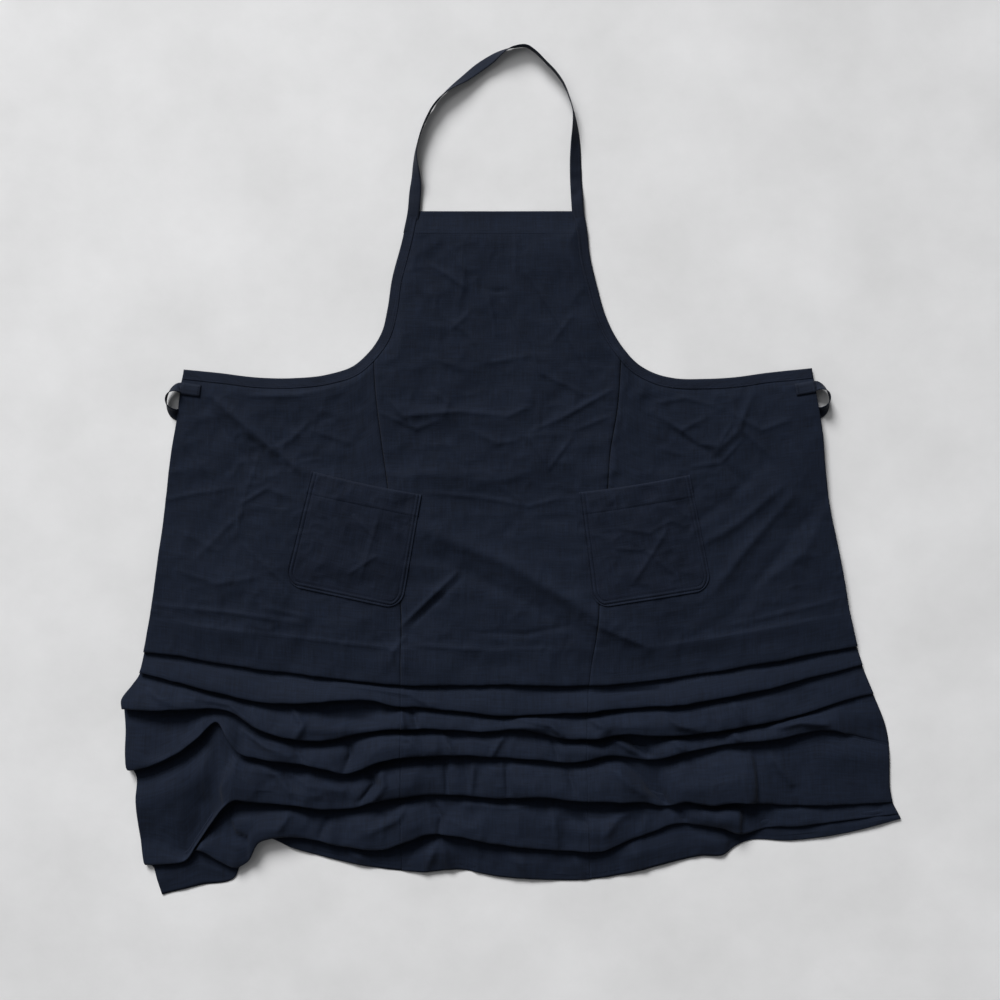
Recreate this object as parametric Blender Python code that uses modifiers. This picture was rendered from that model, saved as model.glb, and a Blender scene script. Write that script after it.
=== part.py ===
"""A full-length artist's smock apron, lying flat with its skirt gathered into pleats.

Metres, +Z up out of the front of the cloth, +Y towards the bib. The origin is on the floor, in the
middle of the footprint. Outlines are given in shares of the laid width and length: the first number
runs across from the middle of the footprint, the second runs down from the top edge of the bib.
"""

import bisect
import math

import bmesh
import bpy
from mathutils import Matrix, Vector

COLLECTION = "artist_apron"

# Overall sizes of the apron as it lies
LAID_WIDTH = 1.170
LAID_LENGTH = 1.026
NECK_LOOP_HEIGHT = 0.2475

# Cloth, tape and clearances
CLOTH = 0.0007
TAPE_WIDTH = 0.018
TAPE = 0.0012
GAP = 0.0003
THREAD = 0.0003
THREAD_WIDTH = 0.0012

# Bib, bindings and seams
FACING_DEPTH = 0.036
BINDING_WIDTH = 0.015
BINDING_SLACK = 0.0015
STITCH_INSET = 0.0025
NECK_FOOT_LENGTH = 0.033

# Pleats of the skirt
PLEAT_DEPTH = 0.016
PLEAT_HEIGHT = 0.008
PLEAT_SHARE = 0.5
PLEAT_SLOPE = 0.3
PLEAT_NOSE = 0.001
PLEAT_START = 0.1
PLEAT_OVER = 0.9
RISE_LENGTH = 0.030
HEM_DEPTH = 0.009
HEM_END = 0.02
PLEAT_PARTS = ("foot", "over", "top", "edge", "under", "return", "back", "bottom")
LAYER = CLOTH + GAP
PLEAT_LOWEST = CLOTH / 2 + 5 * LAYER

# Patch pockets; each one's mouth is placed from the centre front and up from the first pleat's edge
CENTRE_FRONT = -0.0203
POCKET_WIDTH = 0.171
POCKET_DEPTH = 0.172
POCKET_FLARE = 0.012
POCKET_RADIUS = 0.022
POCKET_BORDER = 0.009
POCKET_HEM = 0.033
POCKET_BULGE = 0.0085
POCKET_PLACES = {
    "left": {"offset": -0.196, "rise": 0.295, "turn": -12.0},
    "right": {"offset": 0.205, "rise": 0.292, "turn": 9.0},
}

# Side loops, placed along the side edge from the underarm corner
LOOP_DROP = 0.0195
LOOP_SPAN = 0.057
LOOP_REACH = 0.0225
LOOP_TAB = 0.030
HINGE_OUT = 0.004
SETTLE_LENGTH = 0.050

# Heights of the layers: back pieces on the floor, the panels, then the front pieces
PANEL_MID = TAPE + GAP + CLOTH / 2
FRONT = PANEL_MID + CLOTH / 2 + GAP
ON_BINDING = FRONT + CLOTH + GAP
STRAP_MID = ON_BINDING + TAPE / 2

# Edges of the laid apron, each a few (share across, share down) points
BIB_LEFT = (-0.1320, 0.0)
BIB_RIGHT = (0.0936, 0.0)
LEFT_ARMHOLE = [BIB_LEFT, (-0.138, 0.037), (-0.1526, 0.101), (-0.1654, 0.177), (-0.1756, 0.197),
                (-0.200, 0.225), (-0.233, 0.238), (-0.279, 0.2456), (-0.3256, 0.243),
                (-0.3756, 0.237), (-0.419, 0.232)]
RIGHT_ARMHOLE = [BIB_RIGHT, (0.0974, 0.028), (0.110, 0.110), (0.122, 0.1535), (0.142, 0.197),
                 (0.164, 0.225), (0.2026, 0.243), (0.249, 0.2456), (0.283, 0.243),
                 (0.328, 0.237), (0.386, 0.2295)]
SEAM_START = 4
LEFT_SEAM = [LEFT_ARMHOLE[SEAM_START], (-0.168, 0.30), (-0.158, 0.40), (-0.143, 0.58),
             (-0.141, 0.665), (-0.138, 0.97)]
RIGHT_SEAM = [RIGHT_ARMHOLE[SEAM_START], (0.137, 0.285), (0.1256, 0.40), (0.110, 0.614),
              (0.104, 0.70), (0.100, 0.97)]
LEFT_SIDE = [(-0.419, 0.232), (-0.428, 0.3055), (-0.442, 0.424), (-0.460, 0.580),
             (-0.4756, 0.6754), (-0.4987, 0.705), (-0.4936, 0.813), (-0.478, 0.85),
             (-0.469, 0.9547), (-0.4474, 0.9985)]
RIGHT_SIDE = [(0.386, 0.2295), (0.397, 0.3187), (0.409, 0.437), (0.427, 0.541),
              (0.4436, 0.636), (0.464, 0.7047), (0.483, 0.763), (0.4885, 0.8596), (0.5, 0.8874)]

# Front edges of the six pleats and the hem, each across the whole skirt
PLEATS = [
    [(-0.4705, 0.645), (-0.296, 0.6725), (-0.1115, 0.693), (0.0526, 0.693), (0.2205, 0.677),
     (0.3205, 0.661), (0.4436, 0.636)],
    [(-0.4756, 0.6754), (-0.346, 0.7076), (-0.263, 0.7135), (-0.1615, 0.7135), (-0.0115, 0.735),
     (0.137, 0.7266), (0.287, 0.7076), (0.45, 0.661)],
    [(-0.4987, 0.704), (-0.464, 0.7266), (-0.346, 0.737), (-0.263, 0.7734), (-0.1615, 0.756),
     (-0.045, 0.7544), (0.0795, 0.769), (0.2205, 0.763), (0.355, 0.7427), (0.464, 0.7047)],
    [(-0.4936, 0.813), (-0.377, 0.757), (-0.346, 0.780), (-0.263, 0.8055), (-0.205, 0.817),
     (-0.1615, 0.798), (-0.045, 0.795), (0.086, 0.80), (0.254, 0.785), (0.3885, 0.763),
     (0.4846, 0.773)],
    [(-0.469, 0.945), (-0.414, 0.930), (-0.35, 0.855), (-0.213, 0.8684), (-0.095, 0.851),
     (0.019, 0.854), (0.137, 0.8596), (0.27, 0.8626), (0.422, 0.8655), (0.4885, 0.8611)],
    [(-0.459, 0.966), (-0.404, 0.948), (-0.346, 0.906), (-0.306, 0.907), (-0.2295, 0.928),
     (-0.1615, 0.928), (-0.068, 0.9064), (0.0115, 0.928), (0.086, 0.9327), (0.154, 0.918),
     (0.204, 0.8977), (0.304, 0.9006), (0.4385, 0.886), (0.4936, 0.8745)],
]
HEM = [(-0.4474, 0.9985), (-0.354, 0.972), (-0.319, 0.928), (-0.213, 0.950), (-0.128, 0.965),
       (0.0115, 0.9737), (0.086, 0.9766), (0.187, 0.9547), (0.258, 0.9444), (0.29, 0.924),
       (0.3885, 0.9167), (0.5, 0.8874)]

# Neck strap: share across the bib, share of the loop's height, and lean from flat in degrees
NECK_ROUTE = [
    (0.000, 0.000, 0), (0.017, 0.182, 25), (0.034, 0.370, 62), (0.091, 0.533, 84),
    (0.170, 0.685, 86), (0.240, 0.765, 76), (0.330, 0.855, 35), (0.400, 0.915, 28),
    (0.466, 0.958, 58), (0.597, 0.995, 80), (0.710, 0.976, 84), (0.830, 0.867, 86),
    (0.909, 0.709, 78), (0.945, 0.600, 55), (0.966, 0.479, 28), (0.983, 0.218, 4),
    (1.000, 0.000, 0),
]

# The steepest lean a standing tape takes
UPRIGHT = 88.0

# Side loop: share of its reach out of the edge, share of its span down it, and lean in degrees
LOOP_ROUTE = [
    (0.00, 0.00, 0), (0.27, 0.03, 12), (0.62, 0.14, 45), (0.88, 0.30, 78), (1.00, 0.50, 88),
    (0.90, 0.72, 72), (0.55, 0.90, 30), (0.00, 1.00, 0),
]

# How finely the curves and the long pieces are divided
SMOOTH_STEPS = 6
SETTLE_ROUNDS = 8
LOOK_AHEAD = 0.01
BIB_ROWS = (0.0, 0.22, 0.44, 0.64, 0.8, 0.91)
BODY_ROWS = 6
CENTRE_COLUMNS = 8
SIDE_COLUMNS = (0.0, 0.16, 0.32, 0.48, 0.64, 0.79, 0.89, 0.95, 1.0)
BINDING_ROWS = 22
STRAP_ROWS = 44
LOOP_ROWS = 22
POCKET_COLUMNS = 8
THREAD_ROWS = 30
SEAM_ROWS = 8
HEM_ROWS = 40

# Finishes: colour and roughness
NAVY = ((0.0105, 0.0150, 0.0270), 0.85)
STITCH = ((0.0080, 0.0110, 0.0200), 0.70)


def spline(points, t):
    """A point at share t of a smooth curve through points, spaced by their straight-line distance."""
    lengths = [0.0]
    for one, two in zip(points, points[1:]):
        lengths.append(lengths[-1] + math.dist(one[:2], two[:2]))
    at = min(max(t, 0.0), 1.0) * lengths[-1]
    i = 0
    while i < len(points) - 2 and lengths[i + 1] < at:
        i += 1
    span = lengths[i + 1] - lengths[i]
    s = (at - lengths[i]) / span

    def slope(j, k):
        low, high = max(j - 1, 0), min(j + 1, len(points) - 1)
        return (points[high][k] - points[low][k]) / (lengths[high] - lengths[low]) * span

    place = []
    for k in range(len(points[0])):
        a, b = points[i][k], points[i + 1][k]
        ease = (2 * s**3 - 3 * s**2 + 1) * a + (3 * s**2 - 2 * s**3) * b
        place.append(ease + (s**3 - 2 * s**2 + s) * slope(i, k) + (s**3 - s**2) * slope(i + 1, k))
    return place


def smooth(points):
    """The same run of points as a fine smooth polyline."""
    steps = SMOOTH_STEPS * len(points)
    return [spline(points, i / steps) for i in range(steps + 1)]


def level(line, value, key=0):
    """The other coordinate of a polyline where coordinate key has this value, held at its ends."""
    ordered = sorted(line, key=lambda p: p[key])
    value = min(max(value, ordered[0][key]), ordered[-1][key])
    i = bisect.bisect_left(ordered, value, 1, len(ordered) - 1, key=lambda p: p[key])
    one, two = ordered[i - 1], ordered[i]
    share = (value - one[key]) / (two[key] - one[key])
    return one[1 - key] + (two[1 - key] - one[1 - key]) * share


ARMHOLE = {"left": smooth(LEFT_ARMHOLE), "right": smooth(RIGHT_ARMHOLE)}
SEAM = {"left": smooth(LEFT_SEAM), "right": smooth(RIGHT_SEAM)}
SIDE = {"left": smooth(LEFT_SIDE), "right": smooth(RIGHT_SIDE)}
FOLDS = [smooth(line) for line in PLEATS + [HEM]]


def flat(across, down, height=0.0):
    """Shares across and down as a place in metres, with the bib's top edge at y = 0."""
    return Vector((across * LAID_WIDTH, -down * LAID_LENGTH, height))


def run(points, t):
    """A place and the unit direction on the floor at share t of a smooth curve given in shares."""
    ahead, behind = min(t + LOOK_AHEAD, 1.0), max(t - LOOK_AHEAD, 0.0)
    direction = flat(*spline(points, ahead)) - flat(*spline(points, behind))
    return flat(*spline(points, t)), direction.normalized()


def make_material(name, colour, roughness):
    material = bpy.data.materials.new(name)
    material.use_nodes = True
    shader = material.node_tree.nodes["Principled BSDF"]
    shader.inputs["Base Color"].default_value = (*colour, 1.0)
    shader.inputs["Roughness"].default_value = roughness
    shader.inputs["Metallic"].default_value = 0.0
    return material


def cloth(name, columns, rows, place, thickness, finish):
    """A closed sheet: a grid whose corner (column, row) is put at place(column, row), then thickened."""
    bm = bmesh.new()
    bmesh.ops.create_grid(bm, x_segments=columns, y_segments=rows, size=1.0)
    for vert in bm.verts:
        column = round((vert.co.x + 1) / 2 * columns)
        row = round((1 - vert.co.y) / 2 * rows)
        vert.co = place(column, row)
    mesh = bpy.data.meshes.new(name)
    bm.to_mesh(mesh)
    bm.free()
    mesh.materials.append(make_material(name, *finish))
    mesh.shade_smooth()
    piece = bpy.data.objects.new(name, mesh)
    wall = piece.modifiers.new("thickness", "SOLIDIFY")
    wall.thickness = thickness
    wall.offset = 0.0
    bpy.data.collections[COLLECTION].objects.link(piece)
    return piece


def set_pivot(piece, pivot):
    """Puts a moving piece's origin on its hinge and leaves the piece where it is."""
    piece.data.transform(Matrix.Translation(-pivot))
    piece.location = pivot


def pleat_place(across, k, part):
    """Share down and height in metres of one row of pleat k at this share across."""
    floor = CLOTH / 2
    line = level(FOLDS[k], across) * LAID_LENGTH
    above = level(FOLDS[k - 1], across) * LAID_LENGTH if k else line - PLEAT_DEPTH - RISE_LENGTH
    room = line - above
    depth = min(PLEAT_DEPTH, PLEAT_SHARE * room)
    nose = min(PLEAT_NOSE, depth / 4)
    height = max(min(PLEAT_HEIGHT, PLEAT_SLOPE * room), PLEAT_LOWEST)
    down, z = {
        "foot": (above + PLEAT_START * room, floor if k else PANEL_MID),
        "over": (line - depth - nose, PLEAT_OVER * height),
        "top": (line - nose, height),
        "edge": (line, height - LAYER),
        "under": (line - nose, height - 2 * LAYER),
        "return": (line - depth + nose, floor + 2 * LAYER),
        "back": (line - depth, floor + LAYER),
        "bottom": (line - depth + nose, floor),
        "hem": (line, floor),
    }[part]
    return down / LAID_LENGTH, z


def panel(name, shares, left, right, top, bib_rows=()):
    """One panel, from its top edge to the hem, between two edges that run down the cloth.

    shares places its columns from edge to edge. left and right give the share across at a share down,
    and top the share down at a share across. bib_rows are rows above the underarm, each at a share down.
    """
    folds = [(k, part) for k in range(len(PLEATS)) for part in PLEAT_PARTS]
    folds += [(len(PLEATS), "foot"), (len(PLEATS), "hem")]

    def settle(u, down_at):
        down = 0.5
        for _ in range(SETTLE_ROUNDS):
            across = left(down) + (right(down) - left(down)) * u
            down = down_at(across)
        return left(down) + (right(down) - left(down)) * u, down

    def place(column, row):
        u = shares[column]
        if row < len(bib_rows):
            down = bib_rows[row]
            return flat(left(down) + (right(down) - left(down)) * u, down, PANEL_MID)
        row -= len(bib_rows)
        if row >= BODY_ROWS:
            k, part = folds[row - BODY_ROWS]
            across, down = settle(u, lambda a: pleat_place(a, k, part)[0])
            return flat(across, down, pleat_place(across, k, part)[1])
        first = settle(u, top)[1]
        last = settle(u, lambda a: pleat_place(a, 0, "foot")[0])[1]
        down = first + (last - first) * row / BODY_ROWS
        if row == 0:
            return flat(*settle(u, top), PANEL_MID)
        return flat(left(down) + (right(down) - left(down)) * u, down, PANEL_MID)

    cloth(name, len(shares) - 1, len(bib_rows) + BODY_ROWS + len(folds) - 1, place, CLOTH, NAVY)


def panels():
    """The centre panel with the bib, and a side panel either side, meeting at the two long seams."""
    slack = BINDING_SLACK + 2 * CLOTH
    slack_x, slack_y = slack / LAID_WIDTH, slack / LAID_LENGTH
    gap = GAP / 2 / LAID_WIDTH
    underarm = LEFT_SEAM[0][1]

    def centre_left(down):
        if down <= underarm:
            return level(ARMHOLE["left"], down, 1) + slack_x
        return level(SEAM["left"], down, 1) + gap

    def centre_right(down):
        if down <= underarm:
            return level(ARMHOLE["right"], down, 1) - slack_x
        return level(SEAM["right"], down, 1) - gap

    shares = [column / CENTRE_COLUMNS for column in range(CENTRE_COLUMNS + 1)]
    bib_rows = [underarm * share for share in BIB_ROWS]
    panel("centre_panel", shares, centre_left, centre_right, lambda across: underarm, bib_rows)
    panel("side_panel_left", SIDE_COLUMNS, lambda down: level(SIDE["left"], down, 1),
          lambda down: level(SEAM["left"], down, 1) - gap,
          lambda across: level(ARMHOLE["left"], across) + slack_y)
    panel("side_panel_right", [1 - share for share in reversed(SIDE_COLUMNS)],
          lambda down: level(SEAM["right"], down, 1) + gap,
          lambda down: level(SIDE["right"], down, 1),
          lambda across: level(ARMHOLE["right"], across) + slack_y)


def across_bib(share, depth, height):
    """A place on the bib between its two bindings, this far below its top edge."""
    inset = BINDING_WIDTH + 2 * THREAD_WIDTH
    down = depth / LAID_LENGTH
    left = flat(level(ARMHOLE["left"], down, 1), down, height) + Vector((inset, 0, 0))
    right = flat(level(ARMHOLE["right"], down, 1), down, height) - Vector((inset, 0, 0))
    return left.lerp(right, share)


def bib_facing():
    """A straight facing behind the bib's top edge, and the stitch line that holds it."""
    line = FACING_DEPTH - STITCH_INSET

    def place(column, row):
        return across_bib(column, row * FACING_DEPTH, CLOTH / 2)

    def thread(column, row):
        return across_bib(column, line + (row - 0.5) * THREAD_WIDTH, FRONT + THREAD / 2)

    cloth("bib_facing", 1, 1, place, CLOTH, NAVY)
    cloth("bib_stitching", 1, 1, thread, THREAD, STITCH)


def armhole_binding(side):
    """A folded tape that wraps the armhole's cut edge, with a leg behind and a leg in front."""
    points = LEFT_ARMHOLE if side == "left" else RIGHT_ARMHOLE
    inward = 1 if side == "left" else -1
    back, front = CLOTH / 2, FRONT + CLOTH / 2
    profile = [(BINDING_WIDTH, back), (1.5 * CLOTH, back), (CLOTH / 2, (back + front) / 2),
               (1.5 * CLOTH, front), (BINDING_WIDTH, front)]
    share_length = sum(math.dist(one, two) for one, two in zip(points, points[1:]))
    start = (NECK_FOOT_LENGTH + 2 * THREAD_WIDTH) / LAID_LENGTH / share_length

    def place(column, row):
        here, ahead = run(points, row / BINDING_ROWS)
        normal = Vector((-ahead.y, ahead.x, 0)) * inward
        reach, height = profile[column if side == "left" else len(profile) - 1 - column]
        return here + normal * reach + Vector((0, 0, height))

    cloth("armhole_binding_" + side, len(profile) - 1, BINDING_ROWS, place, CLOTH, NAVY)

    def thread(column, row):
        here, ahead = run(points, start + (1 - LOOK_AHEAD - start) * row / BINDING_ROWS)
        normal = Vector((-ahead.y, ahead.x, 0)) * inward
        share = column if side == "left" else 1 - column
        reach = BINDING_WIDTH - STITCH_INSET + share * THREAD_WIDTH
        return here + normal * reach + Vector((0, 0, ON_BINDING + THREAD / 2))

    cloth("binding_stitching_" + side, 1, BINDING_ROWS, thread, THREAD, STITCH)


def seam_stitching(side):
    """The line of stitches behind a long seam, from the binding down to the first pleat's rise."""
    start = level(ARMHOLE[side], SEAM[side][0][0]) + (BINDING_WIDTH + 4 * THREAD_WIDTH) / LAID_LENGTH
    end = PLEATS[0][2][1] - (PLEAT_DEPTH + 2 * RISE_LENGTH) / LAID_LENGTH

    def place(column, row):
        down = start + (end - start) * row / SEAM_ROWS
        across = level(SEAM[side], down, 1)
        shift = (column - 0.5) * 2 * THREAD_WIDTH
        return flat(across, down, PANEL_MID - CLOTH / 2 - GAP - THREAD / 2) + Vector((shift, 0, 0))

    cloth("seam_stitching_" + side, 1, SEAM_ROWS, place, THREAD, STITCH)


def pocket_frame(side):
    """A pocket's middle of the mouth, the direction along the mouth, and the direction down it."""
    spot = POCKET_PLACES[side]
    turn = math.radians(spot["turn"])
    mouth = Vector((math.cos(turn), math.sin(turn), 0))
    down = Vector((math.sin(turn), -math.cos(turn), 0))
    across = CENTRE_FRONT + spot["offset"]
    pleat = level(FOLDS[0], across / LAID_WIDTH) * LAID_LENGTH
    return Vector((across, spot["rise"] - pleat, 0)), mouth, down


def pocket_half(down):
    """Half the pocket's width at this distance below its mouth, with its rounded lower corners."""
    low = min(max(down - (POCKET_DEPTH - POCKET_RADIUS), 0.0), POCKET_RADIUS)
    corner = POCKET_RADIUS - math.sqrt(POCKET_RADIUS**2 - low**2)
    return (POCKET_WIDTH + POCKET_FLARE * down / POCKET_DEPTH) / 2 - corner


def pocket_point(side, across, down, lift=0.0):
    """A place on a pocket's cloth: across from its middle line, down from its mouth, lifted off it."""
    middle, mouth, below = pocket_frame(side)
    inner = (POCKET_WIDTH + POCKET_FLARE * down / POCKET_DEPTH) / 2 - POCKET_BORDER
    inside = max(1 - abs(across) / inner, 0.0)
    above = max(1 - down / (POCKET_DEPTH - POCKET_BORDER), 0.0)
    bulge = POCKET_BULGE * math.sin(inside * math.pi / 2) * above
    return middle + mouth * across + below * down + Vector((0, 0, FRONT + CLOTH / 2 + bulge + lift))


def pocket(side):
    """A patch pocket, sewn flat round its border and open a little at its mouth, with its stitches."""
    r = POCKET_RADIUS
    rows = [0.0, POCKET_HEM, 0.45 * POCKET_DEPTH, 0.68 * POCKET_DEPTH, POCKET_DEPTH - r,
            POCKET_DEPTH - 0.5 * r, POCKET_DEPTH - 0.15 * r, POCKET_DEPTH]
    inner_columns = POCKET_COLUMNS - 2
    on_top = CLOTH / 2 + GAP + THREAD / 2

    def place(column, row):
        half = pocket_half(rows[row])
        share = min(max(2 * (column - 1) / inner_columns - 1, -1), 1)
        across = half * share if column in (0, POCKET_COLUMNS) else (half - POCKET_BORDER) * share
        return pocket_point(side, across, rows[row])

    def hem(column, row):
        down = POCKET_HEM + (row - 0.5) * THREAD_WIDTH
        across = (pocket_half(down) - POCKET_BORDER) * (2 * column / inner_columns - 1)
        return pocket_point(side, across, down, on_top + GAP)

    def outline(column, row):
        """Down one side, round the lower corners and up the other side, on the flat border."""
        inset = POCKET_BORDER / 3 + column * THREAD_WIDTH
        turn = POCKET_RADIUS - inset
        side_run = POCKET_DEPTH - POCKET_RADIUS - POCKET_BORDER / 3
        base_run = POCKET_WIDTH / 2 - POCKET_RADIUS
        arc = turn * math.pi / 2
        at = (side_run + arc + base_run) * (1 - abs(2 * row / THREAD_ROWS - 1))
        hand = 1 if row * 2 > THREAD_ROWS else -1
        if at <= side_run:
            down = POCKET_BORDER / 3 + at
            across = pocket_half(down) - inset
        elif at <= side_run + arc:
            angle = (at - side_run) / turn
            down = POCKET_DEPTH - POCKET_RADIUS + turn * math.sin(angle)
            across = pocket_half(POCKET_DEPTH - POCKET_RADIUS) - POCKET_RADIUS + turn * math.cos(angle)
        else:
            down = POCKET_DEPTH - inset
            share = 1 - (at - side_run - arc) / base_run
            across = (pocket_half(POCKET_DEPTH - POCKET_RADIUS) - POCKET_RADIUS) * share
        spot = pocket_point(side, hand * across, down)
        spot.z = FRONT + CLOTH / 2 + on_top
        return spot

    cloth("pocket_" + side, POCKET_COLUMNS, len(rows) - 1, place, CLOTH, NAVY)
    cloth("pocket_hem_stitching_" + side, inner_columns, 1, hem, THREAD, STITCH)
    cloth("pocket_stitching_" + side, 1, THREAD_ROWS, outline, THREAD, STITCH)


def route_frame(route, t):
    """A place on a (x, y, lean) route, its unit direction, and its lean kept within flat and upright."""
    x, y, lean = spline(route, t)
    one, two = spline(route, max(t - LOOK_AHEAD, 0.0)), spline(route, min(t + LOOK_AHEAD, 1.0))
    ahead = Vector((two[0] - one[0], two[1] - one[1], 0)).normalized()
    return Vector((x, y, 0)), ahead, math.radians(min(max(lean, 0.0), UPRIGHT))


def ease(share):
    share = min(max(share, 0.0), 1.0)
    return share * share * (3 - 2 * share)


def neck_strap():
    """The free loop of the neck strap, which swings on the bib's top edge."""
    left, right = flat(*BIB_LEFT), flat(*BIB_RIGHT)
    width = right.x - left.x
    route = [(left.x + a * width, b * NECK_LOOP_HEIGHT, lean) for a, b, lean in NECK_ROUTE]
    trim = HINGE_OUT / sum(math.dist(one[:2], two[:2]) for one, two in zip(route, route[1:]))

    def place(column, row):
        here, ahead, lean = route_frame(route, trim + (1 - 2 * trim) * row / STRAP_ROWS)
        inward = Vector((ahead.y, -ahead.x, 0))
        if row in (0, STRAP_ROWS):
            here.y, inward.y = HINGE_OUT, 0.0
        settled = ease((here.y - HINGE_OUT) / SETTLE_LENGTH)
        here.z = STRAP_MID + (TAPE / 2 - STRAP_MID) * settled
        across = inward * math.cos(lean) + Vector((0, 0, math.sin(lean)))
        return here + across * TAPE_WIDTH * column / 2

    strap = cloth("neck_strap", 2, STRAP_ROWS, place, TAPE, NAVY)
    set_pivot(strap, Vector(((left.x + right.x) / 2, HINGE_OUT, STRAP_MID)))


def neck_strap_end(side):
    """A sewn end of the neck strap, on the front of a bib corner, with its stitches."""
    inward = 1 if side == "left" else -1

    def spot(reach, depth, height):
        down = depth / LAID_LENGTH
        return flat(level(ARMHOLE[side], down, 1), down, height) + Vector((inward * reach, 0, 0))

    def foot(column, row):
        share = column if side == "left" else 1 - column
        return spot(share * TAPE_WIDTH, row * NECK_FOOT_LENGTH / 2, STRAP_MID)

    def thread(column, row):
        share = column if side == "left" else 1 - column
        reach = STITCH_INSET + (TAPE_WIDTH - 2 * STITCH_INSET) * share
        depth = NECK_FOOT_LENGTH - STITCH_INSET + (row - 0.5) * THREAD_WIDTH
        return spot(reach, depth, STRAP_MID + TAPE / 2 + GAP + THREAD / 2)

    cloth("neck_strap_end_" + side, 1, 2, foot, TAPE, NAVY)
    cloth("neck_strap_stitching_" + side, 1, 1, thread, THREAD, STITCH)


def side_loop(side):
    """A tape loop at the underarm corner: a free bow that swings on the side edge, and two sewn ends."""
    outward = -1 if side == "left" else 1
    top = SIDE[side][0][1] + LOOP_DROP / LAID_LENGTH
    start = flat(level(SIDE[side], top, 1), top)
    low = top + LOOP_SPAN / LAID_LENGTH
    end = flat(level(SIDE[side], low, 1), low)
    along = (end - start).normalized()
    out = Vector((-along.y, along.x, 0)) * outward
    front, back = FRONT + TAPE / 2, TAPE / 2
    route = []
    for reach, span, lean in LOOP_ROUTE:
        spot = start + along * span * LOOP_SPAN + out * (HINGE_OUT + reach * (LOOP_REACH - HINGE_OUT))
        route.append((spot.x, spot.y, lean))

    def bow(column, row):
        share = row / LOOP_ROWS
        here, ahead, lean = route_frame(route, share)
        inward = Vector((ahead.y, -ahead.x, 0)) * outward
        if row in (0, LOOP_ROWS):
            inward = along if row == 0 else -along
        across = inward * math.cos(lean) + Vector((0, 0, math.sin(lean)))
        here.z = front + (back - front) * ease(share)
        step = column if side == "right" else 2 - column
        spot = here + across * TAPE_WIDTH * step / 2
        inside = HINGE_OUT - (spot - start).dot(out)
        return spot + out * max(inside, 0.0)

    def tab(first, height):
        def place(column, row):
            reach = column if outward > 0 else 1 - column
            return first + out * (reach - 1) * LOOP_TAB + along * row * TAPE_WIDTH + Vector((0, 0, height))
        return place

    def thread(column, row):
        reach = STITCH_INSET + (column if outward > 0 else 1 - column) * THREAD_WIDTH
        deep = STITCH_INSET + row * (TAPE_WIDTH - 2 * STITCH_INSET)
        height = front + TAPE / 2 + GAP + THREAD / 2
        return start + out * (reach - LOOP_TAB) + along * deep + Vector((0, 0, height))

    loop = cloth("side_loop_" + side, 2, LOOP_ROWS, bow, TAPE, NAVY)
    hinge = (start + end) / 2 + out * HINGE_OUT
    set_pivot(loop, Vector((hinge.x, hinge.y, PANEL_MID)))
    cloth("side_loop_front_end_" + side, 1, 1, tab(start, front), TAPE, NAVY)
    cloth("side_loop_back_end_" + side, 1, 1, tab(end - along * TAPE_WIDTH, back), TAPE, NAVY)
    cloth("side_loop_stitching_" + side, 1, 1, thread, THREAD, STITCH)


def hem_stitching():
    """The line of stitches round the bottom hem, on the front of all three panels."""
    first, last = HEM[0][0] + HEM_END, HEM[-1][0] - HEM_END

    def place(column, row):
        across = first + (last - first) * row / HEM_ROWS
        above = (HEM_DEPTH + (0.5 - column) * THREAD_WIDTH) / LAID_LENGTH
        return flat(across, level(FOLDS[-1], across) - above, CLOTH + GAP + THREAD / 2)

    cloth("hem_stitching", 1, HEM_ROWS, place, THREAD, STITCH)


def centre_on_footprint():
    """Moves every piece so that the world's origin is on the floor in the middle of the footprint."""
    low, high = Vector((math.inf,) * 3), Vector((-math.inf,) * 3)
    depsgraph = bpy.context.evaluated_depsgraph_get()
    pieces = list(bpy.data.collections[COLLECTION].objects)
    for piece in pieces:
        for vert in piece.evaluated_get(depsgraph).data.vertices:
            spot = piece.location + vert.co
            for k in range(3):
                low[k], high[k] = min(low[k], spot[k]), max(high[k], spot[k])
    shift = Vector((-(low.x + high.x) / 2, -(low.y + high.y) / 2, -low.z))
    frame = bpy.data.objects.new("apron_frame", None)
    frame.location = shift
    bpy.data.collections[COLLECTION].objects.link(frame)
    for piece in pieces:
        piece.parent = frame
    bpy.context.view_layer.update()


def main():
    for thing in list(bpy.data.objects):
        bpy.data.objects.remove(thing, do_unlink=True)
    group = bpy.data.collections.new(COLLECTION)
    bpy.context.scene.collection.children.link(group)
    panels()
    bib_facing()
    neck_strap()
    for side in ("left", "right"):
        armhole_binding(side)
        seam_stitching(side)
        neck_strap_end(side)
        side_loop(side)
        pocket(side)
    hem_stitching()
    centre_on_footprint()


main()
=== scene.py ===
"""An artist's smock apron in dark navy cloth, laid flat with its skirt pushed up into folds."""

import math

import bmesh
import bpy
import numpy as np
from mathutils import Matrix, Vector


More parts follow.
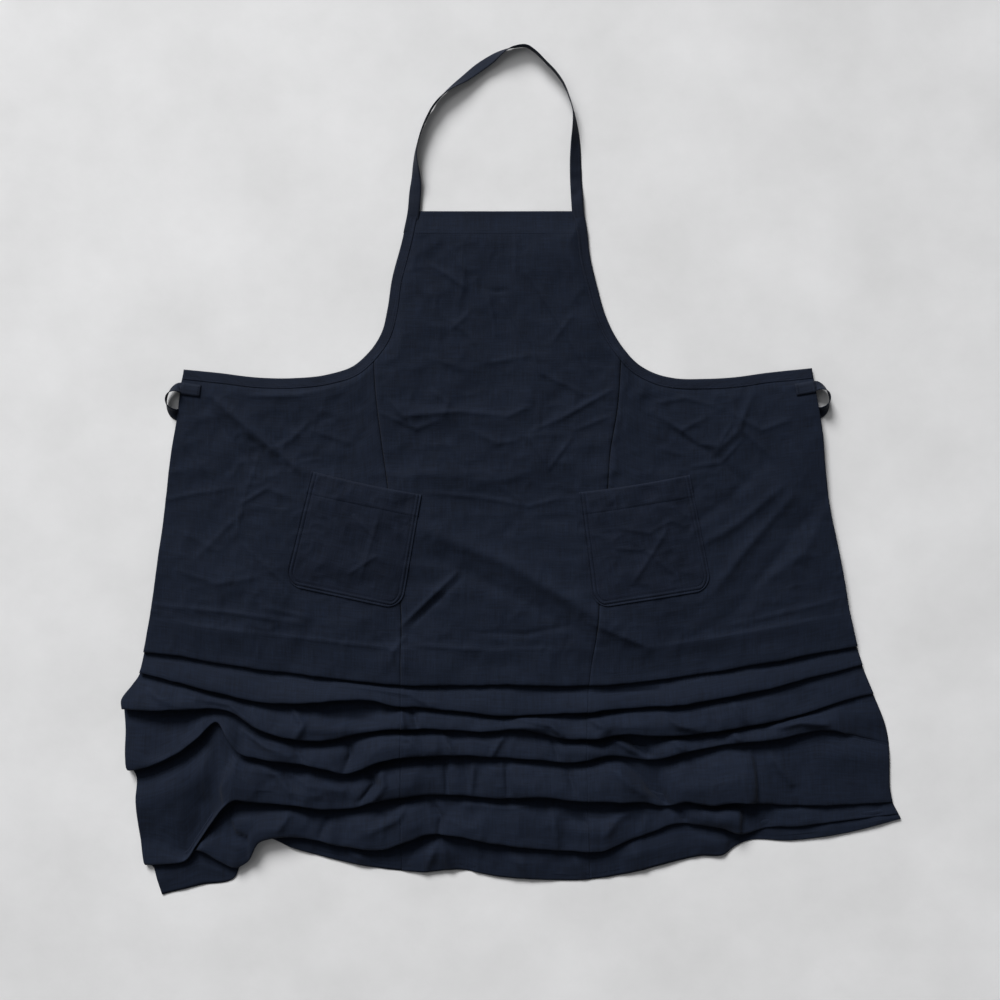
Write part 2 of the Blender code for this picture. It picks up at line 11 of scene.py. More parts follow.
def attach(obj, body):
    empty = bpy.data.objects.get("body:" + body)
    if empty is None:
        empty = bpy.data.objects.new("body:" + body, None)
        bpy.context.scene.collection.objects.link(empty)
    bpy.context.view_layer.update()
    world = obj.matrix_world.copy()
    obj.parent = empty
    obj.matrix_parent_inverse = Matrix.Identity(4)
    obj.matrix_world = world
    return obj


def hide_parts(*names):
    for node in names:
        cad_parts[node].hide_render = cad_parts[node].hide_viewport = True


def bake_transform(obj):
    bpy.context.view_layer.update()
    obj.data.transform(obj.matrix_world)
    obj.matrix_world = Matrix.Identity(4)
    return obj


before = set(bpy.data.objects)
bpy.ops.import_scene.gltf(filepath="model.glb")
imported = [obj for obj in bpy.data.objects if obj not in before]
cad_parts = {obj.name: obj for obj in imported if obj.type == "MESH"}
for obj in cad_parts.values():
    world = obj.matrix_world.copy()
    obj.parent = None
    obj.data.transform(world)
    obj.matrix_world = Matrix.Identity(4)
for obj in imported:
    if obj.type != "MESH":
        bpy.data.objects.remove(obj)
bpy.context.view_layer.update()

MM = 0.001

# Cloth, tape and thread, in metres
CLOTH = 0.0007
FOLDED_EDGE = 0.0006
POCKET_THICK = 0.0008
TAPE = 0.0012
TAPE_WIDTH = 0.018
STITCH_PITCH, STITCH_LENGTH, STITCH_WIDTH = 0.0030, 0.0023, 0.0006

# Heights of the middle of the cloth: the flat panels, cloth that lies on the floor, and the height from
# which a high fold is pressed down
PANEL_MID = 0.00185
FLOOR_LAYER = 0.0006
HIGH_FOLD = 0.0245

# Places along the apron, and the distance between rows of the panels
BIB_TOP = 0.3885
UNDERARM = 0.186
FACING_DEEP = 0.036
SEW_IN = 0.003
STEP = 0.0027

# Outlines on the floor, in millimetres
ARMHOLE_LEFT = [(-155, 389), (-162, 351), (-179, 285), (-186, 239), (-194, 207), (-206, 186), (-221, 169),
                (-234, 158), (-273, 144), (-327, 138), (-381, 139), (-440, 146), (-491, 151)]
ARMHOLE_RIGHT = [(109, 389), (114, 360), (118, 324), (129, 276), (142, 231), (154, 205), (166, 186),
                 (192, 158), (219, 144), (245, 138), (291, 137), (331, 139), (384, 146), (451, 153)]
SIDE_LEFT_UPPER = [(-491, 151), (-494, 131), (-501, 75), (-510, 21), (-518, -46), (-528, -126),
                   (-539, -207), (-551, -273), (-557, -304), (-569, -324)]
SIDE_LEFT_LOWER = [(-583, -331), (-582, -352), (-576, -399), (-577, -447), (-563, -449), (-563, -481),
                   (-557, -547), (-549, -591), (-538, -593), (-524, -637)]
SIDE_RIGHT = [(451, 153), (456, 116), (465, 62), (471, -6), (478, -60), (489, -112), (499, -166),
              (508, -217), (519, -264), (526, -289), (543, -334), (556, -367), (565, -394), (568, -445),
              (571, -493), (585, -523)]
SEAM_LEFT = [(-206, 186), (-204, 134), (-194, 42), (-185, -22), (-173, -135), (-165, -210), (-165, -294),
             (-164, -640)]
SEAM_RIGHT = [(166, 186), (160, 96), (148, 20), (145, -27), (133, -180), (129, -241), (121, -286),
              (118, -640)]

# The skirt's folds: each one's front edge, its height and how far it goes back under itself
FOLDS = [
    {"edge": [(-551, -273), (-489, -280), (-437, -290), (-350, -302), (-263, -313), (-158, -322),
              (-53, -322), (54, -322), (148, -322), (228, -313), (306, -302), (400, -286), (520, -264)],
     "height": [(-551, 2), (-300, 2.5), (-129, 3.5), (0, 3), (100, 4.5), (250, 3), (520, 2)],
     "depth": [(-551, 16), (520, 16)]},
    {"edge": [(-558, -304), (-507, -316), (-435, -334), (-381, -345), (-326, -348), (-263, -344),
              (-209, -344), (-176, -352), (-129, -355), (-15, -367), (58, -366), (157, -357), (235, -353),
              (306, -342), (376, -329), (456, -309), (531, -290)],
     "height": [(-558, 5), (-420, 8), (-311, 13), (-200, 13), (-129, 8), (60, 8), (130, 10), (235, 9),
                (400, 6), (531, 4)],
     "depth": [(-558, 14), (531, 16)]},
    {"edge": [(-584, -358), (-543, -359), (-488, -357), (-444, -357), (-420, -362), (-381, -383),
              (-350, -396), (-311, -403), (-272, -403), (-236, -396), (-185, -388), (-129, -386),
              (-20, -390), (15, -387), (54, -396), (85, -401), (117, -400), (165, -395), (235, -396),
              (291, -391), (376, -379), (432, -366), (495, -346), (556, -333)],
     "height": [(-584, 10), (-540, 14), (-500, 19), (-430, 20), (-350, 14), (-250, 12), (-129, 9),
                (15, 10), (100, 9), (165, 13), (195, 16), (235, 11), (400, 8), (544, 5)],
     "depth": [(-584, 14), (544, 18)]},
    {"edge": [(-579, -449), (-543, -443), (-524, -435), (-495, -420), (-468, -400), (-440, -377),
              (-425, -396), (-405, -422), (-381, -429), (-326, -436), (-275, -446), (-248, -453),
              (-224, -446), (-200, -435), (-168, -428), (-110, -425), (-11, -430), (42, -434), (114, -434),
              (141, -427), (168, -428), (202, -434), (259, -422), (318, -411), (376, -405), (436, -394),
              (471, -388), (501, -394), (535, -402), (570, -412)],
     "height": [(-579, 8), (-500, 12), (-440, 15), (-380, 12), (-275, 13), (-210, 18), (-150, 11),
                (50, 10), (150, 12), (202, 9), (318, 10), (430, 9), (490, 7), (515, 1.2), (570, 0.6)],
     "depth": [(-579, 10), (-440, 14), (-400, 18), (436, 18), (490, 12), (503, -4), (570, -4)],
     "crest": [(-579, 30), (-540, 12), (-445, 9), (-400, 60), (570, 60)]},
    {"edge": [(-551, -591), (-512, -588), (-488, -584), (-471, -561), (-449, -529), (-429, -504),
              (-411, -491), (-396, -493), (-326, -500), (-267, -505), (-239, -505), (-209, -497),
              (-156, -488), (-90, -485), (-11, -491), (34, -487), (102, -494), (160, -495), (196, -496),
              (231, -503), (259, -495), (298, -499), (337, -494), (361, -496), (417, -502), (475, -502),
              (574, -497)],
     "height": [(-551, 6), (-488, 9), (-420, 13), (-330, 12), (-239, 13), (-156, 10), (-11, 10),
                (102, 11), (165, 18), (225, 8), (245, 13), (350, 14), (366, 6), (574, 4)],
     "depth": [(-551, 10), (-411, 14), (-380, 18), (574, 16)],
     "crest": [(-551, 40), (-520, 30), (-485, 7), (-420, 7), (-395, 60), (574, 60)],
     "belly": [(-579, 9), (-545, 11), (-460, 11), (-432, 0), (574, 0)]},
    {"edge": [(-540, -596), (-497, -584), (-467, -569), (-437, -585), (-410, -593), (-396, -586),
              (-374, -553), (-350, -548), (-303, -551), (-248, -563), (-188, -565), (-156, -555),
              (-129, -545), (-90, -545), (-42, -555), (15, -563), (82, -569), (141, -568), (172, -555),
              (219, -539), (240, -532), (285, -531), (313, -534), (345, -543), (385, -536), (417, -534),
              (495, -526), (583, -516)],
     "height": [(-540, 5), (-467, 8), (-410, 7), (-350, 9), (-248, 9), (-150, 12), (-90, 10), (82, 9),
                (219, 6), (300, 6), (345, 8), (380, 3.5), (583, 3)],
     "depth": [(-540, 8), (-400, 10), (-350, 14), (300, 14), (400, 10), (583, 8)]},
]
HEM = [(-524, -637), (-467, -623), (-414, -610), (-405, -590), (-396, -580), (-374, -552), (-327, -567),
       (-248, -588), (-156, -602), (-137, -603), (-83, -599), (-17, -610), (22, -613), (121, -614),
       (160, -608), (259, -584), (283, -579), (318, -577), (338, -563), (352, -557), (417, -556),
       (495, -546), (585, -523)]

# Creases in the body: a line in millimetres, its height and its half width in millimetres
CREASES = [
    ([(-449, 111), (-390, 60), (-311, -4)], 3.2, 9), ([(-365, 57), (-333, 3)], -1.6, 7),
    ([(-402, -49), (-365, -27)], 1.1, 3), ([(-402, -49), (-410, -96)], 0.9, 3),
    ([(-525, -46), (-470, -34), (-417, -27)], 0.7, 3), ([(-402, -111), (-326, -180)], 0.8, 3),
    ([(-392, 111), (-320, 112), (-257, 126)], 1.0, 4), ([(-400, 60), (-375, 40)], 0.8, 3),
    ([(-375, 30), (-402, -49)], 0.6, 4), ([(-365, -27), (-320, -45)], 0.6, 3),
    ([(-182, 105), (-160, 80), (-143, 62)], 1.3, 3.5), ([(-158, 81), (-80, 88), (-5, 81)], 1.1, 3.5),
    ([(-200, 88), (-143, 62), (-110, 74)], 0.9, 3), ([(-120, 120), (-95, 100), (-100, 82)], 0.8, 3),
    ([(-5, 81), (27, 95)], 0.8, 3), ([(27, 50), (57, 3)], 1.4, 3.5), ([(57, 3), (90, 48)], 1.0, 3.5),
    ([(30, 58), (70, 76)], 0.8, 3), ([(72, 76), (148, 119)], 1.3, 4), ([(95, 60), (150, 82)], 0.8, 3.5),
    ([(-126, -34), (-50, -40), (27, -54)], 0.9, 2.5), ([(27, -54), (72, -42)], 0.8, 2.5),
    ([(-20, -22), (27, -54)], 0.5, 3), ([(-126, -92), (0, -142), (120, -215), (200, -262)], 3.6, 16),
    ([(-120, -130), (10, -190), (90, -236)], -2.0, 16),
    ([(-165, -234), (-120, -190), (-81, -153)], 1.8, 3.5), ([(-150, -234), (-75, -162)], -1.0, 3.5),
    ([(-197, -249), (-158, -294)], 1.2, 3), ([(-158, -249), (-197, -294)], 1.1, 3),
    ([(-533, -202), (-420, -213), (-311, -229)], 1.0, 2.5), ([(-533, -225), (-387, -244)], 1.1, 3),
    ([(-387, -244), (-260, -258), (-143, -271)], 1.0, 3), ([(-370, -205), (-300, -222)], 0.7, 3),
    ([(-143, -262), (-40, -270), (60, -268)], 0.9, 3.5), ([(-60, -243), (20, -246), (90, -232)], -0.9, 5),
    ([(210, -267), (300, -252), (400, -234), (493, -220)], 1.3, 2.5), ([(330, -232), (486, -195)], 0.7, 3),
    ([(110, -225), (210, -267)], 1.1, 4), ([(286, -111), (340, -80), (402, -27)], 1.8, 9),
    ([(250, -95), (330, -40), (380, 10)], -1.2, 12), ([(370, -175), (440, -120), (470, -60)], 1.0, 9),
    ([(247, 65), (280, 40), (309, 35)], 1.1, 3.5), ([(215, 100), (260, 108), (310, 95)], 0.9, 4),
    ([(309, 35), (330, 70)], 0.7, 3.5), ([(330, 110), (345, 60), (390, 20)], 0.9, 5),
    ([(230, 30), (260, 22)], 0.6, 3), ([(-123, 309), (-95, 292), (-68, 272)], 1.0, 3),
    ([(25, 294), (60, 240), (90, 190), (118, 147)], 1.3, 3.5),
    ([(-11, 251), (20, 200), (46, 144)], 1.2, 4), ([(-36, 266), (-21, 204)], 0.8, 3),
    ([(6, 351), (7, 287)], 0.6, 2.5), ([(-33, 269), (-20, 267), (-8, 269)], -0.8, 3),
    ([(-150, 300), (-133, 260)], 0.6, 3), ([(60, 190), (90, 230)], 0.7, 3.5),
    ([(20, 170), (-40, 160)], 0.6, 4), ([(-60, 240), (-90, 210), (-80, 180)], 0.7, 3.5),
    ([(-130, 170), (-60, 150)], 0.6, 5), ([(80, 300), (100, 250)], 0.7, 4),
    ([(46, 144), (118, 110)], 0.8, 4), ([(-490, 40), (-450, -10)], 0.8, 6),
    ([(-500, -90), (-440, -120), (-420, -180)], 0.7, 7), ([(-300, 60), (-240, 40)], 0.7, 4),
    ([(-240, 100), (-215, 60)], 0.6, 3), ([(300, -185), (350, -120), (420, -39)], 2.0, 10),
    ([(345, -200), (400, -130), (450, -60)], -1.5, 12), ([(240, 60), (300, 25), (350, -20)], -1.1, 8),
    ([(215, 85), (255, 60), (290, 78)], 1.1, 5), ([(330, 85), (375, 60), (415, 75)], 1.0, 5),
    ([(360, 110), (340, 60), (300, 20)], 1.1, 6), ([(430, 20), (455, -30)], 1.0, 6),
    ([(270, 5), (315, 12), (345, 45)], 0.9, 4), ([(-455, 95), (-415, 40), (-385, 5)], -1.3, 8),
    ([(-300, 75), (-330, 45), (-360, 30)], 1.1, 6), ([(-470, -130), (-430, -90), (-400, -60)], 0.9, 6),
    ([(-500, -150), (-440, -170), (-380, -160)], 0.8, 5), ([(-95, 40), (-70, 10), (-60, -30)], 1.0, 6),
    ([(-60, 60), (-20, 40), (10, 45)], 0.9, 5), ([(-100, 230), (-60, 200), (-30, 160)], 1.0, 6),
    ([(-90, 330), (-70, 300), (-75, 260)], 0.8, 5),
]

# Soft swells on the visible part of one fold: fold, middle, half sizes and height, all in millimetres
SWELLS = [
    (3, -500, -440, 60, 14, 3), (4, -480, -540, 60, 60, -2), (4, -395, -470, 30, 30, 5),
    (4, -270, -480, 60, 14, 4), (4, -140, -460, 50, 26, 4), (4, -60, -460, 22, 30, -3),
    (4, 40, -462, 50, 26, 3), (4, 150, -462, 55, 26, 5), (4, 212, -470, 12, 28, -6),
    (4, 295, -468, 60, 30, 5), (5, -330, -525, 34, 20, 3), (5, -150, -520, 22, 24, 5),
    (5, -100, -515, 24, 26, -3), (5, 30, -520, 60, 20, 3), (5, 120, -535, 50, 18, 5),
    (5, 300, -515, 38, 16, 7), (2, -250, -386, 70, 10, 4), (2, -240, -362, 70, 8, -3),
    (2, 30, -384, 40, 8, 4), (2, 100, -380, 30, 10, -2), (2, 190, -378, 70, 10, 4),
    (3, -300, -425, 50, 14, 3), (3, -160, -412, 60, 14, 4), (3, 110, -418, 50, 12, 4),
    (3, 190, -418, 14, 20, -4), (3, 420, -376, 50, 10, 4), (6, -130, -580, 34, 20, 4),
    (6, 250, -560, 60, 20, 3), (4, 520, -420, 60, 26, 5), (3, 540, -372, 30, 18, 3),
]

# Narrow ridges and valleys on the visible part of one fold: fold, line, height and half width
GATHERS = [
    (4, [(172, -432), (205, -462), (232, -498)], -9, 7),
    (4, [(150, -440), (180, -470), (215, -494)], 4, 10),
    (4, [(-480, -470), (-455, -520), (-470, -560)], -3, 16), (4, [(-100, -430), (-95, -480)], -3, 5),
    (4, [(-55, -434), (-60, -484)], 2.5, 6), (4, [(-8, -436), (-5, -486)], -3, 5),
    (4, [(80, -440), (95, -480)], -2.5, 6), (4, [(390, -425), (405, -450), (420, -470)], 3, 6),
    (4, [(-330, -455), (-300, -470), (-250, -478)], 3, 8),
    (4, [(-214, -446), (-205, -470), (-225, -495)], -4, 6),
    (4, [(-195, -446), (-190, -470), (-205, -492)], 4, 6),
    (4, [(-385, -440), (-350, -455), (-330, -480)], 3, 7),
    (5, [(-156, -496), (-170, -520), (-210, -540)], 4, 8),
    (5, [(-120, -495), (-105, -520), (-108, -545)], -3.5, 6),
    (5, [(-70, -500), (0, -506), (40, -500)], 2.5, 5), (5, [(110, -500), (100, -520), (112, -530)], -5, 6),
    (5, [(185, -505), (160, -520), (140, -545)], 2.5, 7), (5, [(-330, -510), (-345, -535)], 3, 7),
    (6, [(-146, -562), (-170, -598)], -5, 7), (6, [(-76, -552), (-62, -598)], -5, 7),
    (6, [(-108, -548), (-128, -600)], 4, 9), (6, [(-108, -548), (-90, -600)], 4, 9),
    (6, [(-240, -572), (-215, -590)], 2.5, 7), (6, [(0, -575), (30, -608)], 2, 9),
    (6, [(95, -580), (110, -610)], 2.5, 8), (6, [(180, -565), (200, -600)], 3, 8),
    (6, [(-470, -590), (-430, -605)], 2, 8), (2, [(-330, -352), (-310, -380), (-320, -398)], 4, 6),
    (2, [(-290, -352), (-270, -372), (-210, -376)], -4, 9), (2, [(-165, -358), (-160, -384)], 3.5, 5),
    (2, [(-150, -358), (-140, -384)], -3, 5), (2, [(10, -372), (60, -380), (75, -396)], 4, 5),
    (2, [(120, -372), (140, -385), (130, -398)], 3.5, 6),
    (2, [(225, -362), (250, -380), (280, -388)], 3, 6),
    (2, [(-470, -340), (-420, -350), (-390, -375)], 3, 6),
    (3, [(-400, -390), (-370, -410), (-330, -425)], 3.5, 6),
    (3, [(-245, -404), (-240, -425), (-250, -448)], -4, 7),
    (3, [(-185, -392), (-150, -400), (-130, -425)], 4, 6), (3, [(-105, -390), (-85, -425)], 3, 5),
    (3, [(60, -400), (70, -430)], -2.5, 5), (3, [(150, -400), (175, -415), (205, -432)], 4, 6),
    (3, [(180, -400), (205, -425)], -4, 5), (3, [(400, -384), (432, -376), (470, -380)], 3.5, 6),
    (2, [(-540, -330), (-500, -352)], 3, 6), (2, [(330, -345), (350, -375)], 2.5, 6),
    (3, [(-330, -408), (-310, -436)], -3, 6), (3, [(-10, -395), (-30, -428)], 2.5, 6),
    (3, [(240, -402), (262, -420)], 3, 6), (3, [(330, -392), (345, -405)], 2.5, 6),
    (5, [(-270, -508), (-285, -548)], -3, 7), (5, [(250, -505), (262, -528)], -3, 6),
    (5, [(60, -500), (70, -560)], 2, 6), (1, [(-260, -318), (-150, -335), (-120, -352)], 2.5, 6),
    (1, [(60, -330), (130, -334), (220, -330)], -2, 5),
]

# Places where one side of a line stands above the other: fold, line, height, width, and reach, whose
# sign says which side is the higher
STEPS = [
    (4, [(-403, -420), (-424, -448), (-434, -476), (-428, -498)], 8, 3, 60),
    (4, [(359, -410), (365, -450), (367, -500)], 8, 3, -60),
    (5, [(-414, -494), (-420, -520), (-412, -540), (-392, -548)], 7, 3, 50),
    (5, [(342, -500), (344, -520), (342, -536)], 8, 3, -45),
    (6, [(318, -540), (326, -556), (322, -575)], 4, 4, -30),
]

# How much stronger the cloth shows these than their listed heights
HEIGHT_SCALE = 1.45
CREASE_SCALE = 2.2
SWELL_SCALE = 1.4
GATHER_SCALE = 2.3
STEP_SCALE = 1.2

# Neck strap: places in millimetres and lean from flat in degrees
NECK_ROUTE = [
    (-161.5, 356, 0), (-155, 389, 0), (-152.5, 418, 12), (-149, 440, 42), (-147, 459, 66), (-144, 478, 80),
    (-139, 497, 84), (-131, 518, 86), (-120, 540, 86), (-107, 559, 80), (-92, 575, 66), (-74, 591, 44),
    (-54, 608, 32), (-34, 621, 38), (-15, 630, 62), (4, 634.5, 80), (24, 634.5, 86), (36, 627, 86),
    (50, 613, 86), (65, 598, 86), (78, 580, 86), (88, 558, 84), (95, 536, 80), (100, 514, 62),
    (103.5, 490, 38), (105, 460, 20), (106.5, 430, 8), (108, 405, 2), (109, 389, 0), (114.5, 356, 0),
]


def metres(points):
    return np.array(points, float) * MM


def ease(t):
    """From 0 to 1 with a soft start and end."""
    return t * t * (3 - 2 * t)


def between(s, one, two, leave, arrive):
    """A smooth curve from one place to the next at share s, with its directions at both."""
    return ((2 * s**3 - 3 * s**2 + 1) * one + (s**3 - 2 * s**2 + s) * leave
            + (3 * s**2 - 2 * s**3) * two + (s**3 - s**2) * arrive)


def run_of(line):
    """Distance along a line to each of its points."""
    return np.concatenate([[0.0], np.cumsum(np.linalg.norm(np.diff(line, axis=0), axis=1))])


def smooth(points, steps=14):
    """Rough points in millimetres as a fine smooth polyline in metres."""
    p = metres(points)
    at = run_of(p[:, :2])
    slope = np.gradient(p, at, axis=0)
    q = np.linspace(0.0, at[-1], steps * len(p))
    i = np.clip(np.searchsorted(at, q, "right") - 1, 0, len(p) - 2)
    span = (at[i + 1] - at[i])[:, None]
    return between((q - at[i])[:, None] / span, p[i], p[i + 1], span * slope[i], span * slope[i + 1])


def across(line, y):
    """x of a line that runs down the apron, at each y."""
    order = np.argsort(line[:, 1], kind="stable")
    return np.interp(y, line[order, 1], line[order, 0])


def down(line, x):
    """y of a line that runs across the apron, at each x."""
    order = np.argsort(line[:, 0], kind="stable")
    return np.interp(x, line[order, 0], line[order, 1])


def profile(pairs, x):
    """A value that changes across the apron, from (x, value) pairs in millimetres."""
    pairs = metres(pairs)
    return np.interp(x, pairs[:, 0], pairs[:, 1])


def noise(x, y, size, seed):
    """Smooth noise from -1 to 1 with swells about this size in metres."""
    table = np.random.default_rng(seed).uniform(-1, 1, (128, 128))
    gx, gy = x / size + 57.3, y / size + 31.7
    ix, iy = np.floor(gx).astype(int), np.floor(gy).astype(int)
    fx, fy = gx - ix, gy - iy
    fx, fy = ease(fx), ease(fy)
    low = table[ix % 128, iy % 128] * (1 - fx) + table[(ix + 1) % 128, iy % 128] * fx
    high = table[ix % 128, (iy + 1) % 128] * (1 - fx) + table[(ix + 1) % 128, (iy + 1) % 128] * fx
    return low * (1 - fy) + high * fy


ARM = {"left": smooth(ARMHOLE_LEFT), "right": smooth(ARMHOLE_RIGHT)}
SIDE = {"left": np.vstack([smooth(SIDE_LEFT_UPPER), metres(SIDE_LEFT_LOWER)]),
        "right": smooth(SIDE_RIGHT)}
SEAM = {"left": smooth(SEAM_LEFT), "right": smooth(SEAM_RIGHT)}
EDGES = [smooth(fold["edge"]) for fold in FOLDS] + [smooth(HEM)]


def gap_to(x, y, line):
    """Distance from each place to a polyline, and the share along it of the nearest point."""
    best = np.full(x.shape, 1e9)
    share = np.zeros(x.shape)
    lengths = np.linalg.norm(np.diff(line, axis=0), axis=1)
    start = 0.0
    for one, two, length in zip(line, line[1:], lengths):
        dx, dy = two - one
        t = np.clip(((x - one[0]) * dx + (y - one[1]) * dy) / length**2, 0, 1)
        gap = np.hypot(x - one[0] - t * dx, y - one[1] - t * dy)
        near = gap < best
        best = np.where(near, gap, best)
        share = np.where(near, (start + t * length) / lengths.sum(), share)
        start += length
    return best, share


def fade(share, ends):
    """1 along the middle of a line, falling off towards its ends; a larger value leaves more there."""
    return np.sqrt(np.clip(np.sin(np.pi * (ends + (1 - 2 * ends) * share)), 0, 1))


def ridge(x, y, line, width, ends):
    """A ridge of height 1 along a line; line and half width are in millimetres."""
    gap, share = gap_to(x, y, metres(line))
    return fade(share, ends) / (1 + (gap / (width * MM)) ** 2) ** 1.5


def relief(x, y):
    """How far the laid cloth stands up from flat at each place, with its creases."""
    z = 0.0028 * noise(x, y, 0.12, 1) + 0.0013 * noise(x, y, 0.05, 2) + 0.00045 * noise(x, y, 0.02, 3)
    z += 0.00018 * noise(x, y, 0.010, 4) + 0.0034 * crumple(x, y, 0.10, 5) + 0.0018 * crumple(x, y, 0.045, 6)
    rough = 0.5 + 0.5 * noise(x, y, 0.09, 9)
    z += (0.4 + rough) * (0.0012 * crumple(x, y, 0.030, 10) + 0.0011 * crumple(x, y, 0.019, 8))
    for line, height, width in CREASES:
        z += CREASE_SCALE * height * MM * ridge(x, y, line, max(width, 4.0), 0.06)
    return z


def calm(x, y):
    """0 where the sewing holds the cloth flat, at the armholes and bib top, 1 away from them."""
    near = np.clip((BIB_TOP + 0.0005 - y) / 0.05, 0, 1)
    for side, beside in (("left", x < -0.2), ("right", x > 0.17)):
        edge_gap = np.abs(x - across(ARM[side], y)) + 0.4 * np.clip(UNDERARM - y, 0, 1)
        under = np.clip(down(ARM[side], x) - y, 0, 1)
        near = np.minimum(near, np.clip(edge_gap / 0.03, 0, 1))
        near = np.minimum(near, np.clip(np.where(beside, under / 0.03, 1.0), 0, 1))
    return ease(near)


def body_height(x, y, seams=1.0):
    """Height of the middle of the cloth of the body and bib."""
    quiet = calm(x, y)
    lift = PANEL_MID + 0.0006 + 0.0016 * quiet + relief(x, y) * (0.15 + 0.85 * quiet)
    for side in ("left", "right"):
        gap = np.where(y < UNDERARM, np.abs(x - across(SEAM[side], y)), 1.0)
        dip = 0.0011 * np.exp(-((gap / 0.0016) ** 2))
        lift = lift + seams * (0.0003 * np.exp(-((gap - 0.006) / 0.004) ** 2) - dip)
    return np.maximum(lift, PANEL_MID - 0.0002)


# Rows that shape each fold
KEYS = 10


def skirt_keys(x, k):
    """The rows of fold k at each x: (y, height, how much of the ripple each takes)."""
    fold = FOLDS[k]
    line = down(EDGES[k], x) + 0.0012 * noise(x, x * 0, 0.045, 20 + k)
    line = line + 0.0007 * noise(x, x * 0, 0.014, 80 + k)
    height = profile(fold["height"], x) * (1 + 0.30 * noise(x, x * 0, 0.07, 30 + k))
    deep = profile(fold["depth"], x)
    if k:
        above = down(EDGES[k - 1], x) + 0.0012 * noise(x, x * 0, 0.045, 19 + k)
    else:
        above = line + deep + 0.040
    room = np.maximum(above - line, 0.004)
    deep = np.minimum(deep, 0.55 * room)
    height = np.minimum(HEIGHT_SCALE * height, 0.6 * room)
    height = np.maximum(height, np.where(deep > 0, 0.0026, 0.0007))
    tight = np.clip(deep / 0.004, 0, 1)
    r = np.minimum(np.minimum(0.0022, np.abs(deep) / 4), height / 3)
    crest = np.minimum(0.26 * room, profile(fold.get("crest", [(-600, 60), (600, 60)]), x))
    wide = crest / (0.26 * room)
    belly = profile(fold.get("belly", [(-600, 0), (600, 0)]), x)
    slack = np.clip(belly / 0.009, 0, 1)
    if k:
        first = (above - 0.08 * room, FLOOR_LAYER + 0.0004, 0.15)
        rise = np.maximum((0.10 + 0.26 * wide) * height + FLOOR_LAYER, belly)
        second = (above - 0.34 * room, rise, 0.9)
    else:
        first = (above - 0.08 * room, PANEL_MID + 0.0006, 1.0)
        second = (above - 0.45 * room, 0.5 * height + 0.001, 0.9)
    return [
        first,
        second,
        (line + np.maximum(crest, 1.3 * r), (0.8 + 0.08 * wide - 0.42 * slack) * height, 1.0),
        (line + 0.6 * r, height, 0.75),
        (line, height - 0.55 * r, 0.7),
        (line + 0.5 * r * np.sign(deep), height - 1.6 * r, 0.35),
        (line + 0.55 * deep, np.minimum(0.0034, 0.6 * height), 0.0),
        (line + deep - 0.0008 * tight, np.minimum(0.0028, 0.5 * height), 0.0),
        (line + deep + 0.0006 * tight - 0.0004 * (1 - tight), np.minimum(0.0019, 0.4 * height), 0.0),
        (line + deep - 0.0008, FLOOR_LAYER + 0.0003 * (1 - tight), 0.0),
    ]


def crumple(x, y, size, seed):
    """Sharp little ridges between soft swells, about this size, from 0 to 1."""
    bend = 0.35 * size * noise(x, y, size, seed + 7)
    return 1 - np.sqrt(noise(x + bend, y - bend, size, seed) ** 2 + 0.004)


def ripple(x, y, k):
    """Gathers across one fold."""
    z = 0.0040 * noise(x, 0.40 * y, 0.055, 40 + k) + 0.0016 * noise(x, 0.6 * y, 0.024, 50 + k)
    z += 0.0055 * (crumple(x, 0.45 * y, 0.060, 140 + k) - 0.6) + 0.0003 * noise(x, y, 0.010, 60 + k)
    z += 0.0024 * (crumple(x, 0.7 * y, 0.028, 150 + k) - 0.6)
    z += 0.0009 * (crumple(x, y, 0.016, 160 + k) - 0.6)
    z *= np.interp(x, [-0.58, -0.45, 0.30, 0.50], [0.5, 1.0, 1.0, 0.5]) * (0.35 if k < 2 else 1.0)
    for fold, cx, cy, rx, ry, height in SWELLS:
        if fold == k:
            far = ((x - cx * MM) / (rx * MM)) ** 2 + ((y - cy * MM) / (ry * MM)) ** 2
            z = z + SWELL_SCALE * height * MM * np.exp(-far)
    for fold, line, height, width in GATHERS:
        if fold == k:
            z = z + GATHER_SCALE * height * MM * ridge(x, y, line, width, 0.1)
    for fold, line, height, width, reach in STEPS:
        if fold == k:
            gap, share = gap_to(x, y, metres(line))
            side = np.sign(x - across(metres(line), y)) * np.sign(reach)
            rise = ease(np.clip(0.5 + 0.5 * side * gap / (width * MM), 0, 1))
            near = np.exp(-(gap / (abs(reach) * MM)) ** 2)
            z = z + STEP_SCALE * height * MM * rise * near * fade(share, 0.12)
    return z


